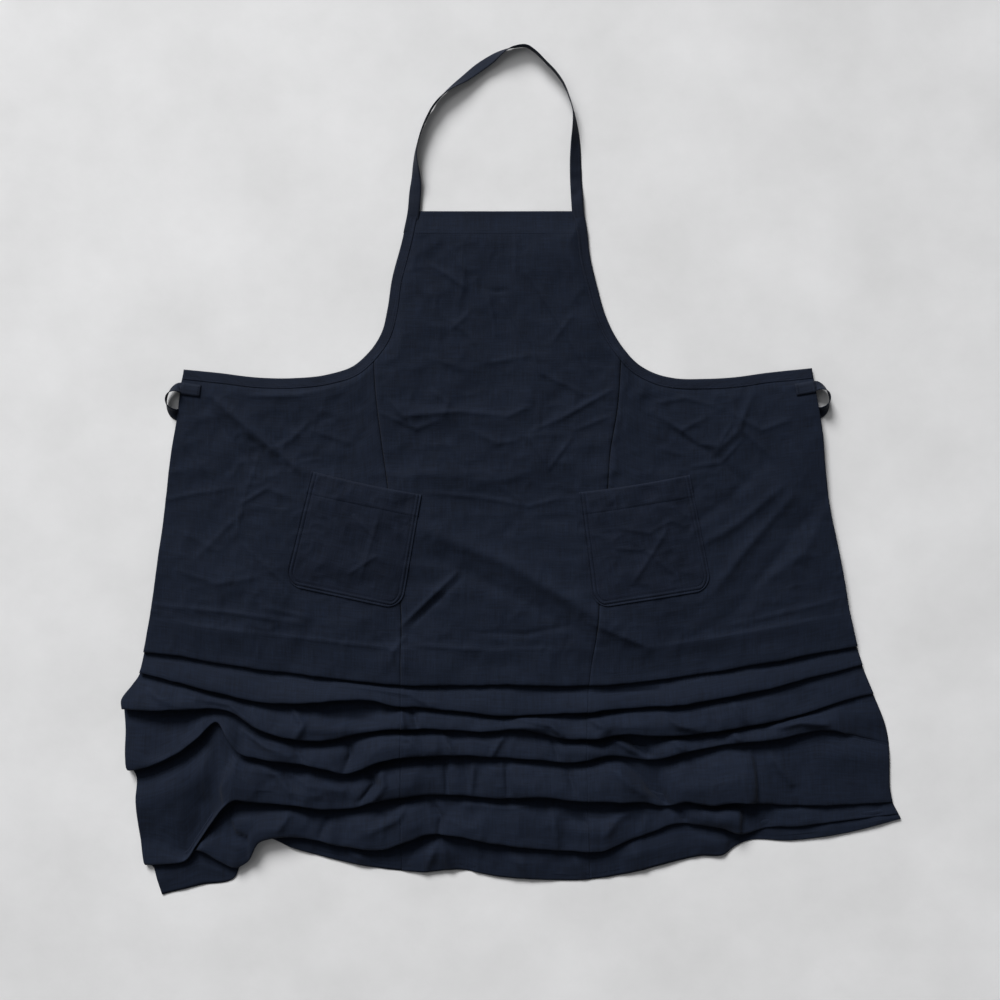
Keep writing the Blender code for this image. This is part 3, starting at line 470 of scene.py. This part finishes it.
def panel_points(left, right, top, columns):
    """Rows of places down one panel from its top edge to the hem."""
    u = np.linspace(0, 1, columns)
    nearby = np.linspace(-0.035, 0.035, 11)[:, None]

    def spread(y):
        """Across from side to side; the steps in a side edge only reach the columns next to it."""
        y = y + 0 * u
        calm_left, calm_right = left(y + nearby).mean(axis=0), right(y + nearby).mean(axis=0)
        return calm_left + (calm_right - calm_left) * u + (left(y) - calm_left) * (1 - u)**14 \
            + (right(y) - calm_right) * u**14

    def settle(y_at):
        y = np.full(columns, -0.1)
        for i in range(14):
            y = 0.5 * y + 0.5 * y_at(spread(y)) if i < 9 else y_at(spread(y))
        return spread(y), y

    keys, folds = [], []
    for k in range(len(FOLDS)):
        for j in range(KEYS):
            x, y = settle(lambda x: skirt_keys(x, k)[j][0] + 0 * x)
            _, z, share = skirt_keys(x, k)[j]
            if k == 0 and j == 0:
                z, share = body_height(x, y), 0.0
            elif k == 0 and j < 5:
                z = z + (body_height(x, y) - PANEL_MID - 0.0006) * (1.05 - 0.15 * j)
            keys.append(np.stack([x, y, np.maximum(z + 0 * x, FLOOR_LAYER), share + 0 * x], axis=1))
            folds.append(k)
    for part in (0.5, 1.0):
        x, y = settle(lambda x: down(EDGES[-2], x) * (1 - part) + down(EDGES[-1], x) * part)
        z = FLOOR_LAYER + 0.0016 + 0.0006 * (1 - part) + part * 0.0005 * noise(x, y, 0.05, 70)
        keys.append(np.stack([x, y, z, 1.1 - 0.6 * part + 0 * x], axis=1))
        folds.append(len(FOLDS))
    keys = np.array(keys)

    # From the top edge to the first fold the cloth is laid flat, with its creases.
    x_first, y_first = keys[0, :, 0], keys[0, :, 1]
    x_top, y_top = settle(top)
    tall = float(np.mean(y_top - y_first))
    count = int(tall / STEP)
    rows, marks = [], []
    for i in range(count):
        s = i / count
        y = y_top + (y_first - y_top) * s
        x = spread(y) if i else x_top
        rows.append(np.stack([x, y, body_height(x, y), 0 * x], axis=1))
        marks.append(0)

    # Below it the rows follow a smooth curve through the keys.
    before = np.concatenate([rows[-1][None], keys, (2 * keys[-1] - keys[-2])[None]])
    for j in range(1, len(before) - 2):
        a, b, c, d = before[j - 1:j + 3]
        mean = float(np.mean(np.linalg.norm((c - b)[:, :3], axis=1)))
        steps = max(3, int(round(mean / STEP)))
        ab, bc, cd = (np.sqrt(np.linalg.norm(gap[:, :3], axis=1))[:, None] + 1e-5
                      for gap in (b - a, c - b, d - c))
        m1 = (b - a) / ab - (c - a) / (ab + bc) + (c - b) / bc
        m2 = (c - b) / bc - (d - b) / (bc + cd) + (d - c) / cd
        for i in range(steps):
            s = i / steps
            row = between(s, b, c, bc * m1, bc * m2)
            row[:, 3] = b[:, 3] * (1 - s) + c[:, 3] * s
            rows.append(row)
            marks.append(folds[j])
    rows.append(keys[-1])
    marks.append(len(FOLDS))
    rows, marks = np.array(rows), np.array(marks)
    points, share = rows[:, :, :3], rows[:, :, 3]
    for k in range(len(FOLDS) + 1):
        mine = marks == k
        points[mine, :, 2] += share[mine] * ripple(points[mine, :, 0], points[mine, :, 1], k)
    over = np.maximum(points[:, :, 2] - HIGH_FOLD, 0)
    points[:, :, 2] = np.minimum(points[:, :, 2], HIGH_FOLD + 0.3 * over)
    # Wherever the cloth would sink into the floor, it lies on the floor instead.
    depth = points[:, :, 2] - FLOOR_LAYER
    points[:, :, 2] = FLOOR_LAYER + 0.5 * (depth + np.sqrt(depth * depth + 0.0006**2))
    return points


# Materials

def socket(group, name, kind, way, value=None):
    made = group.interface.new_socket(name=name, in_out=way, socket_type="NodeSocket" + kind)
    if value is not None:
        made.default_value = value


def add_node(tree, kind, values, vector=None):
    """A shader node with these values on its inputs, and its Vector input linked where one is given."""
    made = tree.nodes.new("ShaderNode" + kind)
    for name, value in values.items():
        made.inputs[name].default_value = value
    if vector is not None:
        tree.links.new(vector, made.inputs["Vector"])
    return made


def bare_material(name, roughness, specular):
    material = bpy.data.materials.new(name)
    material.use_nodes = True
    shader = material.node_tree.nodes["Principled BSDF"]
    shader.inputs["Roughness"].default_value = roughness
    shader.inputs["Specular IOR Level"].default_value = specular
    return material, material.node_tree, shader


def colour_between(tree, shader, value, stops):
    """Base colour from a ramp with two stops, each a place and a colour."""
    ramp = add_node(tree, "ValToRGB", {})
    for element, (position, colour) in zip(ramp.color_ramp.elements, stops):
        element.position = position
        element.color = (*colour, 1)
    tree.links.new(value, ramp.inputs["Fac"])
    tree.links.new(ramp.outputs["Color"], shader.inputs["Base Color"])


def raise_surface(tree, shader, height, strength, distance):
    raised = add_node(tree, "Bump", {"Strength": strength, "Distance": distance})
    tree.links.new(height, raised.inputs["Height"])
    tree.links.new(raised.outputs[0], shader.inputs["Normal"])


def weave_group():
    """Plain weave with uneven threads: how light each place is, and its height."""
    group = bpy.data.node_groups.new("plain_weave", "ShaderNodeTree")
    socket(group, "Vector", "Vector", "INPUT")
    socket(group, "Threads", "Float", "INPUT", 1500.0)
    socket(group, "Slub", "Float", "INPUT", 0.5)
    socket(group, "Lightness", "Float", "OUTPUT")
    socket(group, "Height", "Float", "OUTPUT")
    inside, outside = group.nodes.new("NodeGroupInput"), group.nodes.new("NodeGroupOutput")
    place = inside.outputs["Vector"]
    split = add_node(group, "SeparateXYZ", {}, place)

    def math_node(operation, *values):
        node = add_node(group, "Math", {})
        node.operation = operation
        for value, entry in zip(values, node.inputs):
            if isinstance(value, (int, float)):
                entry.default_value = value
            else:
                group.links.new(value, entry)
        return node.outputs[0]

    def thread(axis):
        turns = math_node("MULTIPLY", split.outputs[axis], inside.outputs["Threads"])
        return math_node("ABSOLUTE", math_node("SINE", math_node("MULTIPLY", turns, math.pi)))

    def slub(scale_x, scale_y):
        mapping = add_node(group, "Mapping", {"Scale": (scale_x, scale_y, 1.0)}, place)
        return add_node(group, "TexNoise", {"Scale": 1.0, "Detail": 2.0}, mapping.outputs[0]).outputs["Fac"]

    warp, weft = thread("X"), thread("Y")
    both = math_node("MULTIPLY", math_node("ADD", slub(520.0, 30.0), slub(30.0, 520.0)), 0.5)
    uneven = math_node("MULTIPLY", math_node("SUBTRACT", both, 0.5), inside.outputs["Slub"])
    group.links.new(math_node("ADD", uneven, 1.0), outside.inputs["Lightness"])
    height = math_node("MULTIPLY", math_node("ADD", warp, weft), 0.5)
    group.links.new(math_node("ADD", height, uneven), outside.inputs["Height"])
    return group


WEAVE = weave_group()


def cloth_material(name, colour, threads=1500.0, mottle=0.06, bump=0.5):
    material, tree, shader = bare_material(name, 0.80, 0.13)
    shader.inputs["Sheen Weight"].default_value = 0.03
    shader.inputs["Sheen Roughness"].default_value = 0.5
    uv = add_node(tree, "UVMap", {})
    uv.uv_map = "cloth"
    weave = add_node(tree, "Group", {})
    weave.node_tree = WEAVE
    weave.inputs["Threads"].default_value = threads
    weave.inputs["Slub"].default_value = 1.9
    tree.links.new(uv.outputs[0], weave.inputs["Vector"])
    patchy = add_node(tree, "TexNoise", {"Scale": 28.0, "Detail": 5.0, "Roughness": 0.65}, uv.outputs[0])
    spread = add_node(tree, "MapRange", {"From Min": 0.3, "From Max": 0.7,
                                         "To Min": 1.0 - mottle, "To Max": 1.0 + mottle})
    tree.links.new(patchy.outputs["Fac"], spread.inputs["Value"])
    light = add_node(tree, "Math", {})
    light.operation = "MULTIPLY"
    tree.links.new(spread.outputs[0], light.inputs[0])
    tree.links.new(weave.outputs["Lightness"], light.inputs[1])
    tint = add_node(tree, "VectorMath", {})
    tint.operation = "SCALE"
    tint.inputs[0].default_value = colour
    tree.links.new(light.outputs[0], tint.inputs["Scale"])
    tree.links.new(tint.outputs[0], shader.inputs["Base Color"])
    raise_surface(tree, shader, weave.outputs["Height"], bump, 0.0003)
    return material


PANEL_CLOTH = cloth_material("navy_panel_cloth", (0.0048, 0.0085, 0.0190))
POCKET_CLOTH = cloth_material("navy_pocket_cloth", (0.0045, 0.0078, 0.0178))
BINDING_CLOTH = cloth_material("navy_binding_cloth", (0.0050, 0.0084, 0.0184), 1700.0, 0.10)
STRAP_CLOTH = cloth_material("navy_strap_tape", (0.0066, 0.0100, 0.0196), 1200.0, 0.12, 0.4)


def thread_material():
    material, tree, shader = bare_material("navy_thread", 0.8, 0.06)
    place = add_node(tree, "TexCoord", {})
    twist = add_node(tree, "TexNoise", {"Scale": 900.0}, place.outputs["Object"])
    dark, light = (0.0030, 0.0045, 0.0090), (0.0065, 0.0095, 0.0180)
    colour_between(tree, shader, twist.outputs["Fac"], ((0.0, dark), (1.0, light)))
    return material


THREAD = thread_material()


# Making pieces

def mesh_of(name, bm):
    mesh = bpy.data.meshes.new(name)
    bm.to_mesh(mesh)
    bm.free()
    return mesh


def show(name, mesh, material):
    mesh.materials.append(material)
    thing = bpy.data.objects.new(name, mesh)
    bpy.context.scene.collection.objects.link(thing)
    return thing


def cloth_piece(name, points, thickness, material, body, nodes, plain=False):
    """A sheet through a grid of places, with its cloth coordinates and its thickness.

    A plain sheet's cloth coordinates run straight across the apron, so that its weave stays square."""
    rows, columns = points.shape[:2]
    bm = bmesh.new()
    bmesh.ops.create_grid(bm, x_segments=columns - 1, y_segments=rows - 1, size=1.0)
    mesh = mesh_of(name, bm)
    co = np.zeros(len(mesh.vertices) * 3)
    mesh.vertices.foreach_get("co", co)
    co = co.reshape(-1, 3)
    column = np.rint((co[:, 0] + 1) / 2 * (columns - 1)).astype(int)
    row = np.rint((1 - co[:, 1]) / 2 * (rows - 1)).astype(int)
    mesh.vertices.foreach_set("co", points[row, column].ravel())
    long = np.zeros((rows, columns))
    long[1:] = np.cumsum(np.linalg.norm(np.diff(points, axis=0), axis=2), axis=0)
    wide = np.zeros((rows, columns))
    wide[:, 1:] = np.cumsum(np.linalg.norm(np.diff(points, axis=1), axis=2), axis=1)
    wide -= wide[:, -1:] / 2
    if plain:
        wide, long = points[:, :, 0], np.repeat(long.mean(axis=1)[:, None], columns, axis=1)
    corner = np.zeros(len(mesh.loops), int)
    mesh.loops.foreach_get("vertex_index", corner)
    uv = np.stack([wide[row, column][corner], -long[row, column][corner]], axis=1)
    layer = mesh.uv_layers.new(name="cloth")
    layer.data.foreach_set("uv", uv.ravel())
    mesh.update()
    mesh.shade_smooth()
    piece = show(name, mesh, material)
    wall = piece.modifiers.new("thickness", "SOLIDIFY")
    wall.thickness = thickness
    wall.offset = 0.0
    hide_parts(*nodes)
    if body:
        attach(piece, body)
    return piece


def stitches(name, paths, body, nodes):
    """Short threads along each path; a path is a row of places."""
    bm = bmesh.new()
    half = STITCH_LENGTH / 2
    size = Matrix.Diagonal((half, STITCH_WIDTH / 2, STITCH_WIDTH * 0.4, 1))
    for path in paths:
        at = run_of(path)
        for i in range(int(at[-1] / STITCH_PITCH)):
            middle = (i + 0.5) * STITCH_PITCH
            one, two = (Vector([np.interp(middle + end, at, path[:, k]) for k in range(3)])
                        for end in (-half, half))
            turn = (two - one).to_track_quat("X", "Z").to_matrix().to_4x4()
            place = Matrix.Translation((one + two) / 2) @ turn @ size @ Matrix.Rotation(math.pi / 2, 4, "Y")
            bmesh.ops.create_uvsphere(bm, u_segments=6, v_segments=4, radius=1.0, matrix=place)
    mesh = mesh_of(name, bm)
    mesh.shade_smooth()
    piece = show(name, mesh, THREAD)
    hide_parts(*nodes)
    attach(piece, body)


def make_panels():
    half_gap = 0.0001

    def bib_or_seam(side, sign, y):
        """The centre panel's edge: the armhole's curve on the bib, the seam below it."""
        seam = across(SEAM[side], y) + sign * np.where(y > -0.25, half_gap, -0.0006)
        return np.where(y > UNDERARM, across(ARM[side], y) + sign * SEW_IN, seam)

    centre = panel_points(lambda y: bib_or_seam("left", 1, y), lambda y: bib_or_seam("right", -1, y),
                          lambda x: BIB_TOP + 0 * x, 136)
    left = panel_points(lambda y: across(SIDE["left"], y),
                        lambda y: across(SEAM["left"], np.minimum(y, UNDERARM)) - half_gap,
                        lambda x: down(ARM["left"], x) - SEW_IN, 146)
    right = panel_points(lambda y: across(SEAM["right"], np.minimum(y, UNDERARM)) + half_gap,
                         lambda y: across(SIDE["right"], y),
                         lambda x: down(ARM["right"], x) - SEW_IN, 152)
    for name, points, wide, long, area in (("centre_panel", centre, 0.37, 1.23, 0.36),
                                           ("side_panel_left", left, 0.41, 1.02, 0.37),
                                           ("side_panel_right", right, 0.43, 0.96, 0.36)):
        piece = cloth_piece(name + "_cloth", points, CLOTH, PANEL_CLOTH, "apron", [name],
                            plain=True)


def lay(path, height):
    """Places on the floor raised to this height above the cloth's middle."""
    return np.column_stack([path, body_height(path[:, 0], path[:, 1]) + height])


def resample(line, step):
    """A line with even steps along it."""
    run = run_of(line[:, :2])
    at = np.linspace(0, run[-1], max(2, int(run[-1] / step)))
    return np.column_stack([np.interp(at, run, line[:, k]) for k in range(line.shape[1])])


def sideways(line, left_hand):
    """The unit direction across a line on the floor."""
    ahead = np.gradient(line[:, :2], axis=0)
    ahead /= np.linalg.norm(ahead, axis=1)[:, None]
    return np.column_stack([-ahead[:, 1], ahead[:, 0]]) * (1 if left_hand else -1)


def make_binding(side):
    line = resample(ARM[side], 0.0035)
    into = sideways(line, side == "left")
    # Around the cloth's edge, from below to above: how far in from the edge, and how high
    shape = [(0.0145, -0.0010), (0.008, -0.0011), (0.0012, -0.0009), (0.0002, 0.0), (0.0009, 0.0011),
             (0.003, 0.0014), (0.007, 0.0013), (0.0105, 0.0012), (0.0120, 0.0009), (0.0132, 0.0012),
             (0.0148, 0.0011), (0.0153, 0.0006)]
    wobble = 0.0004 * noise(line[:, 0], line[:, 1], 0.02, 80)
    columns = []
    for reach, height in shape:
        spot = line + into * (reach + wobble * (reach > 0.01))[:, None]
        inner = line + into * max(reach, 0.004)
        columns.append(np.column_stack([spot, body_height(inner[:, 0], inner[:, 1]) + height]))
    points = np.stack(columns if side == "left" else columns[::-1], axis=1)
    piece = cloth_piece("armhole_binding_" + side + "_cloth", points, FOLDED_EDGE, BINDING_CLOTH, "apron",
                        ["armhole_binding_" + side])
    below_strap = line[:, 1] < 0.350
    thread = lay((line + into * 0.0122)[below_strap], 0.0014)
    stitches("binding_stitching_" + side + "_thread", [thread], "apron", ["binding_stitching_" + side])


def make_facing():
    beside = 0.017
    rows = []
    for y in BIB_TOP - np.linspace(0, FACING_DEEP, 8):
        x = np.linspace(across(ARM["left"], y) + beside, across(ARM["right"], y) - beside, 40)
        rows.append(np.stack([x, np.full(40, y), np.full(40, 0.0005)], axis=1))
    piece = cloth_piece("bib_facing_cloth", np.array(rows), FOLDED_EDGE, PANEL_CLOTH, "apron",
                        ["bib_facing"])
    y = BIB_TOP - 0.034
    x = np.linspace(across(ARM["left"], y) + beside + 0.0002, across(ARM["right"], y) - beside - 0.0002, 80)
    stitches("bib_stitching_thread", [lay(np.stack([x, np.full(80, y)], axis=1), 0.00045)], "apron",
             ["bib_stitching"])


# Pockets: the middle of the mouth in millimetres and the turn in degrees, then half the mouth's width,
# the depth, how much wider the bottom is and the radius of its corners
POCKETS = {"left": ((-216.5, -20.0), -12.0), "right": ((184.5, -21.0), 9.0)}
POCKET_HALF, POCKET_DEEP, POCKET_FLARE, POCKET_ROUND = 0.0840, 0.174, 0.012, 0.026
POCKET_ROWS = (0.0028, 0.0082)
POCKET_HEM = 0.0325
POCKET_CREASES = {
    "left": [([(-35, 60), (10, 120)], 0.9, 5), ([(30, 30), (20, 150)], 0.7, 4),
             ([(-10, 50), (35, 80)], 0.7, 4), ([(0, 140), (40, 100)], 0.7, 4)],
    "right": [([(-30, 150), (15, 100), (40, 70)], 1.0, 5), ([(0, 100), (45, 150)], 0.9, 5),
              ([(-40, 60), (10, 75), (50, 60)], 0.7, 5), ([(-45, 90), (0, 100)], 0.7, 4)],
}


def pocket_half(deep):
    """Half the pocket's width at this depth."""
    low = np.clip(deep - (POCKET_DEEP - POCKET_ROUND), 0, POCKET_ROUND)
    corner = POCKET_ROUND - np.sqrt(POCKET_ROUND**2 - low**2)
    return POCKET_HALF + POCKET_FLARE / 2 * deep / POCKET_DEEP - corner


def pocket_place(side, aside, deep, lift):
    """A place on a pocket: aside from its middle line and deep below its mouth, lifted off its cloth."""
    (mx, my), turn = POCKETS[side]
    turn = math.radians(turn)
    sag = 0.0022 * np.cos(aside / POCKET_HALF * math.pi / 2) * np.clip(1 - deep / 0.05, 0, 1) ** 2
    x = mx * MM + aside * math.cos(turn) + (deep + sag) * math.sin(turn)
    y = my * MM + aside * math.sin(turn) - (deep + sag) * math.cos(turn)
    half = pocket_half(deep)
    inside = np.clip(1 - np.abs(aside) / np.maximum(half - 0.009, 0.001), 0, 1)
    below = np.clip(1 - deep / (POCKET_DEEP - 0.009), 0, 1)
    bulge = 0.0042 * np.sin(inside * math.pi / 2) * below**0.8
    to_edge = np.minimum(half - np.abs(aside), POCKET_DEEP - deep)
    rim = 0.0005 * np.clip((0.0095 - to_edge) / 0.0015, 0, 1)
    rim = rim + 0.0007 * np.clip((0.0345 - deep) / 0.0012, 0, 1)
    groove = 0.0012 * np.exp(-((to_edge - 0.0030) / 0.0012) ** 2)
    groove = groove + 0.0008 * np.exp(-((to_edge - 0.0082) / 0.0011) ** 2)
    groove = groove + 0.0007 * np.exp(-((deep - 0.0330) / 0.0011) ** 2)
    wrinkle = 0.0024 * crumple(aside, deep, 0.045, 11) + 0.0012 * crumple(aside, deep, 0.022, 12) - 0.0022
    for line, height, width in POCKET_CREASES[side]:
        wrinkle = wrinkle + CREASE_SCALE * height * MM * ridge(aside, deep, line, width, 0.0)
    wrinkle = np.maximum(wrinkle, -bulge - 0.0004) * np.clip(to_edge / 0.02, 0, 1)
    z = body_height(x, y, 0.15) + 0.0011 + bulge + rim - groove + wrinkle + lift
    return np.stack([x, y, z], axis=-1)


def make_pocket(side):
    straight = POCKET_DEEP - POCKET_ROUND
    bend = np.linspace(0, math.pi / 2, 26)[1:]
    deep = np.concatenate([[-0.0008], np.linspace(0, straight, 96)[1:],
                           straight + POCKET_ROUND * np.sin(bend)])
    even = np.linspace(-1, 1, 131)
    share = np.sign(even) * (1 - (1 - np.abs(even))**1.6)
    deep = np.repeat(deep[:, None], len(share), axis=1)
    points = pocket_place(side, pocket_half(np.maximum(deep, 0)) * share, deep, 0.0)
    points[0, :, 2] -= 0.0012
    piece = cloth_piece("pocket_" + side + "_cloth", points, POCKET_THICK, POCKET_CLOTH, "apron",
                        ["pocket_" + side])
    bend = np.linspace(0, math.pi / 2, 14)[1:]
    flat_half = pocket_half(straight) - POCKET_ROUND
    run = np.linspace(0.002, straight, 50)
    paths = []
    for inset in POCKET_ROWS:
        turn = POCKET_ROUND - inset
        aside = np.concatenate([pocket_half(run) - inset, flat_half + turn * np.cos(bend),
                                np.linspace(flat_half, 0, 20)[1:]])
        deep = np.concatenate([run, straight + turn * np.sin(bend), np.full(19, POCKET_DEEP - inset)])
        aside = np.concatenate([aside, -aside[-2::-1]])
        deep = np.concatenate([deep, deep[-2::-1]])
        paths.append(pocket_place(side, aside, deep, 0.0006))
    stitches("pocket_stitching_" + side + "_thread", paths, "apron", ["pocket_stitching_" + side])
    hem = pocket_place(side, np.linspace(-0.072, 0.072, 60), np.full(60, POCKET_HEM), 0.0005)
    stitches("pocket_hem_stitching_" + side + "_thread", [hem], "apron", ["pocket_hem_stitching_" + side])


def tape_line(route, step):
    """A tape's route of (x, y, lean), in millimetres and degrees, as a fine line and its leans."""
    line = resample(smooth(route, 30), step)
    return line, np.radians(np.clip(line[:, 2] / MM, 0, 88))


def tape_points(line, lean, base, left_hand, columns, curl=0.0):
    """A tape's places: it stands up by its lean from its outer edge, which is at the base height."""
    share = np.linspace(0, 1, columns)
    reach, lift = TAPE_WIDTH * share, curl * np.sin(share * math.pi)
    flat, steep = np.cos(lean)[:, None], np.sin(lean)[:, None]
    inward = sideways(line, left_hand)[:, None]
    spots = line[:, None, :2] + inward * (reach * flat + lift * steep)[:, :, None]
    return np.dstack([spots, base[:, None] + reach * steep + lift * flat])


def make_neck_strap():
    line, lean = tape_line(NECK_ROUTE, 0.003)
    base = 0.0047 - 0.0039 * ease(np.clip((line[:, 1] - 0.393) / 0.05, 0, 1))
    points = tape_points(line, lean, base, False, 7, 0.0004)
    creased = 0.0008 * noise(points[:, :, 0], points[:, :, 1], 0.012, 90)
    points[:, :, 2] = np.maximum(points[:, :, 2] + creased, 0.0007)
    piece = cloth_piece("neck_strap_tape", points, TAPE, STRAP_CLOTH, None,
                        ["neck_strap", "neck_strap_end_left", "neck_strap_end_right"])
    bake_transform(piece)
    for side, sign in (("left", 1), ("right", -1)):
        y = 0.3582
        edge = across(ARM[side], y)
        x = np.linspace(edge + sign * 0.0028, edge + sign * 0.0155, 12)
        path = np.stack([x, np.full(12, y), np.full(12, 0.0056)], axis=1)
        stitches("neck_strap_stitching_" + side + "_thread", [path], "apron",
                 ["neck_strap_stitching_" + side])


def make_loop(side):
    sign, top = {"left": (-1, 0.1312), "right": (1, 0.1337)}[side]
    low = top - 0.0570
    a, b = (np.array([across(SIDE[side], y), y]) for y in (top, low))
    along = (b - a) / np.linalg.norm(b - a)
    out = np.array([-along[1], along[0]]) * sign
    # Out from the edge, along it, and lean
    route = [(-30, 0, 0), (-14, 0, 0), (0, 0, 0), (5.0, 1.0, 12), (10.5, 5.0, 40), (15.5, 12, 68),
             (18.5, 20, 82), (19.5, 28, 84), (18.5, 37, 76), (15.5, 46, 52), (10.5, 52.5, 28),
             (4.5, 56, 8), (0, 57, 0), (-14, 57, 0), (-30, 57, 0)]
    line, lean = tape_line([(*(a / MM + out * r + along * s), angle) for r, s, angle in route], 0.0025)
    share = np.linspace(0, 1, len(line))
    base = 0.0042 - 0.0033 * ease(np.clip((share - 0.30) / 0.40, 0, 1))
    points = tape_points(line, lean, base, side == "left", 6)
    if side == "left":
        points = points[:, ::-1]
    # The front end lies on the panel, however its cloth rises.
    inside = (points[:, :, :2] - a) @ out < 0.0
    first = share[:, None] < 0.5
    under = body_height(points[:, :, 0], points[:, :, 1]) + 0.0015
    points[:, :, 2] = np.where(inside & first, np.maximum(points[:, :, 2], under), points[:, :, 2])
    piece = cloth_piece("side_loop_" + side + "_tape", points, TAPE, STRAP_CLOTH, None,
                        ["side_loop_" + side, "side_loop_front_end_" + side, "side_loop_back_end_" + side])
    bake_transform(piece)
    path = np.array([a - out * 0.0265 + along * s for s in np.linspace(0.0025, 0.0155, 10)])
    stitches("side_loop_stitching_" + side + "_thread", [lay(path, 0.0024)], "apron",
             ["side_loop_stitching_" + side])


def make_seam_and_hem_stitching():
    for side in ("left", "right"):
        y = np.linspace(0.165, -0.25, 160)
        x = across(SEAM[side], y)
        stitches("seam_stitching_" + side + "_thread", [lay(np.stack([x, y], axis=1), -0.0012)], "apron",
                 ["seam_stitching_" + side])
    x = np.linspace(-0.355, 0.57, 300)
    y = down(EDGES[-1], x) + 0.009
    path = np.stack([x, y, np.full(300, 0.0030)], axis=1)
    stitches("hem_stitching_thread", [path], "apron", ["hem_stitching"])


def make_floor():
    bm = bmesh.new()
    bmesh.ops.create_grid(bm, x_segments=1, y_segments=1, size=6.0)
    material, tree, shader = bare_material("pale_floor", 0.9, 0.1)
    place = add_node(tree, "TexCoord", {})
    cloudy = add_node(tree, "TexNoise", {"Scale": 5.0, "Detail": 8.0, "Roughness": 0.6},
                      place.outputs["Object"])
    dark, light = (0.655, 0.655, 0.658), (0.745, 0.745, 0.752)
    colour_between(tree, shader, cloudy.outputs["Fac"], ((0.3, dark), (0.7, light)))
    raise_surface(tree, shader, cloudy.outputs["Fac"], 0.25, 0.004)
    show("floor", mesh_of("floor", bm), material)


def make_light_and_camera():
    scene = bpy.context.scene
    world = bpy.data.worlds.new("studio")
    world.use_nodes = True
    background = world.node_tree.nodes["Background"]
    background.inputs["Color"].default_value = (0.97, 0.985, 1.0, 1)
    background.inputs["Strength"].default_value = 0.15
    scene.world = world
    sun = bpy.data.lights.new("window", "SUN")
    sun.energy = 4.0
    sun.angle = math.radians(24)
    ceiling = bpy.data.lights.new("ceiling", "AREA")
    ceiling.energy = 26.0
    ceiling.size = 2.5
    for light, spot in ((sun, (-0.85, 2.0, 1.30)), (ceiling, (-1.5, 1.5, 2.1))):
        thing = bpy.data.objects.new(light.name, light)
        thing.location = spot
        thing.rotation_euler = (-Vector(spot)).to_track_quat("-Z", "Y").to_euler()
        scene.collection.objects.link(thing)
    lens = bpy.data.cameras.new("camera")
    lens.lens = 50
    lens.sensor_width = 36
    camera = bpy.data.objects.new("camera", lens)
    camera.location = (-0.0167, -0.04475, 2.087)
    scene.collection.objects.link(camera)
    scene.camera = camera
    scene.view_settings.view_transform = "Standard"


make_floor()
make_light_and_camera()
make_panels()
make_facing()
for hand in ("left", "right"):
    make_binding(hand)
    make_pocket(hand)
    make_loop(hand)
make_neck_strap()
make_seam_and_hem_stitching()
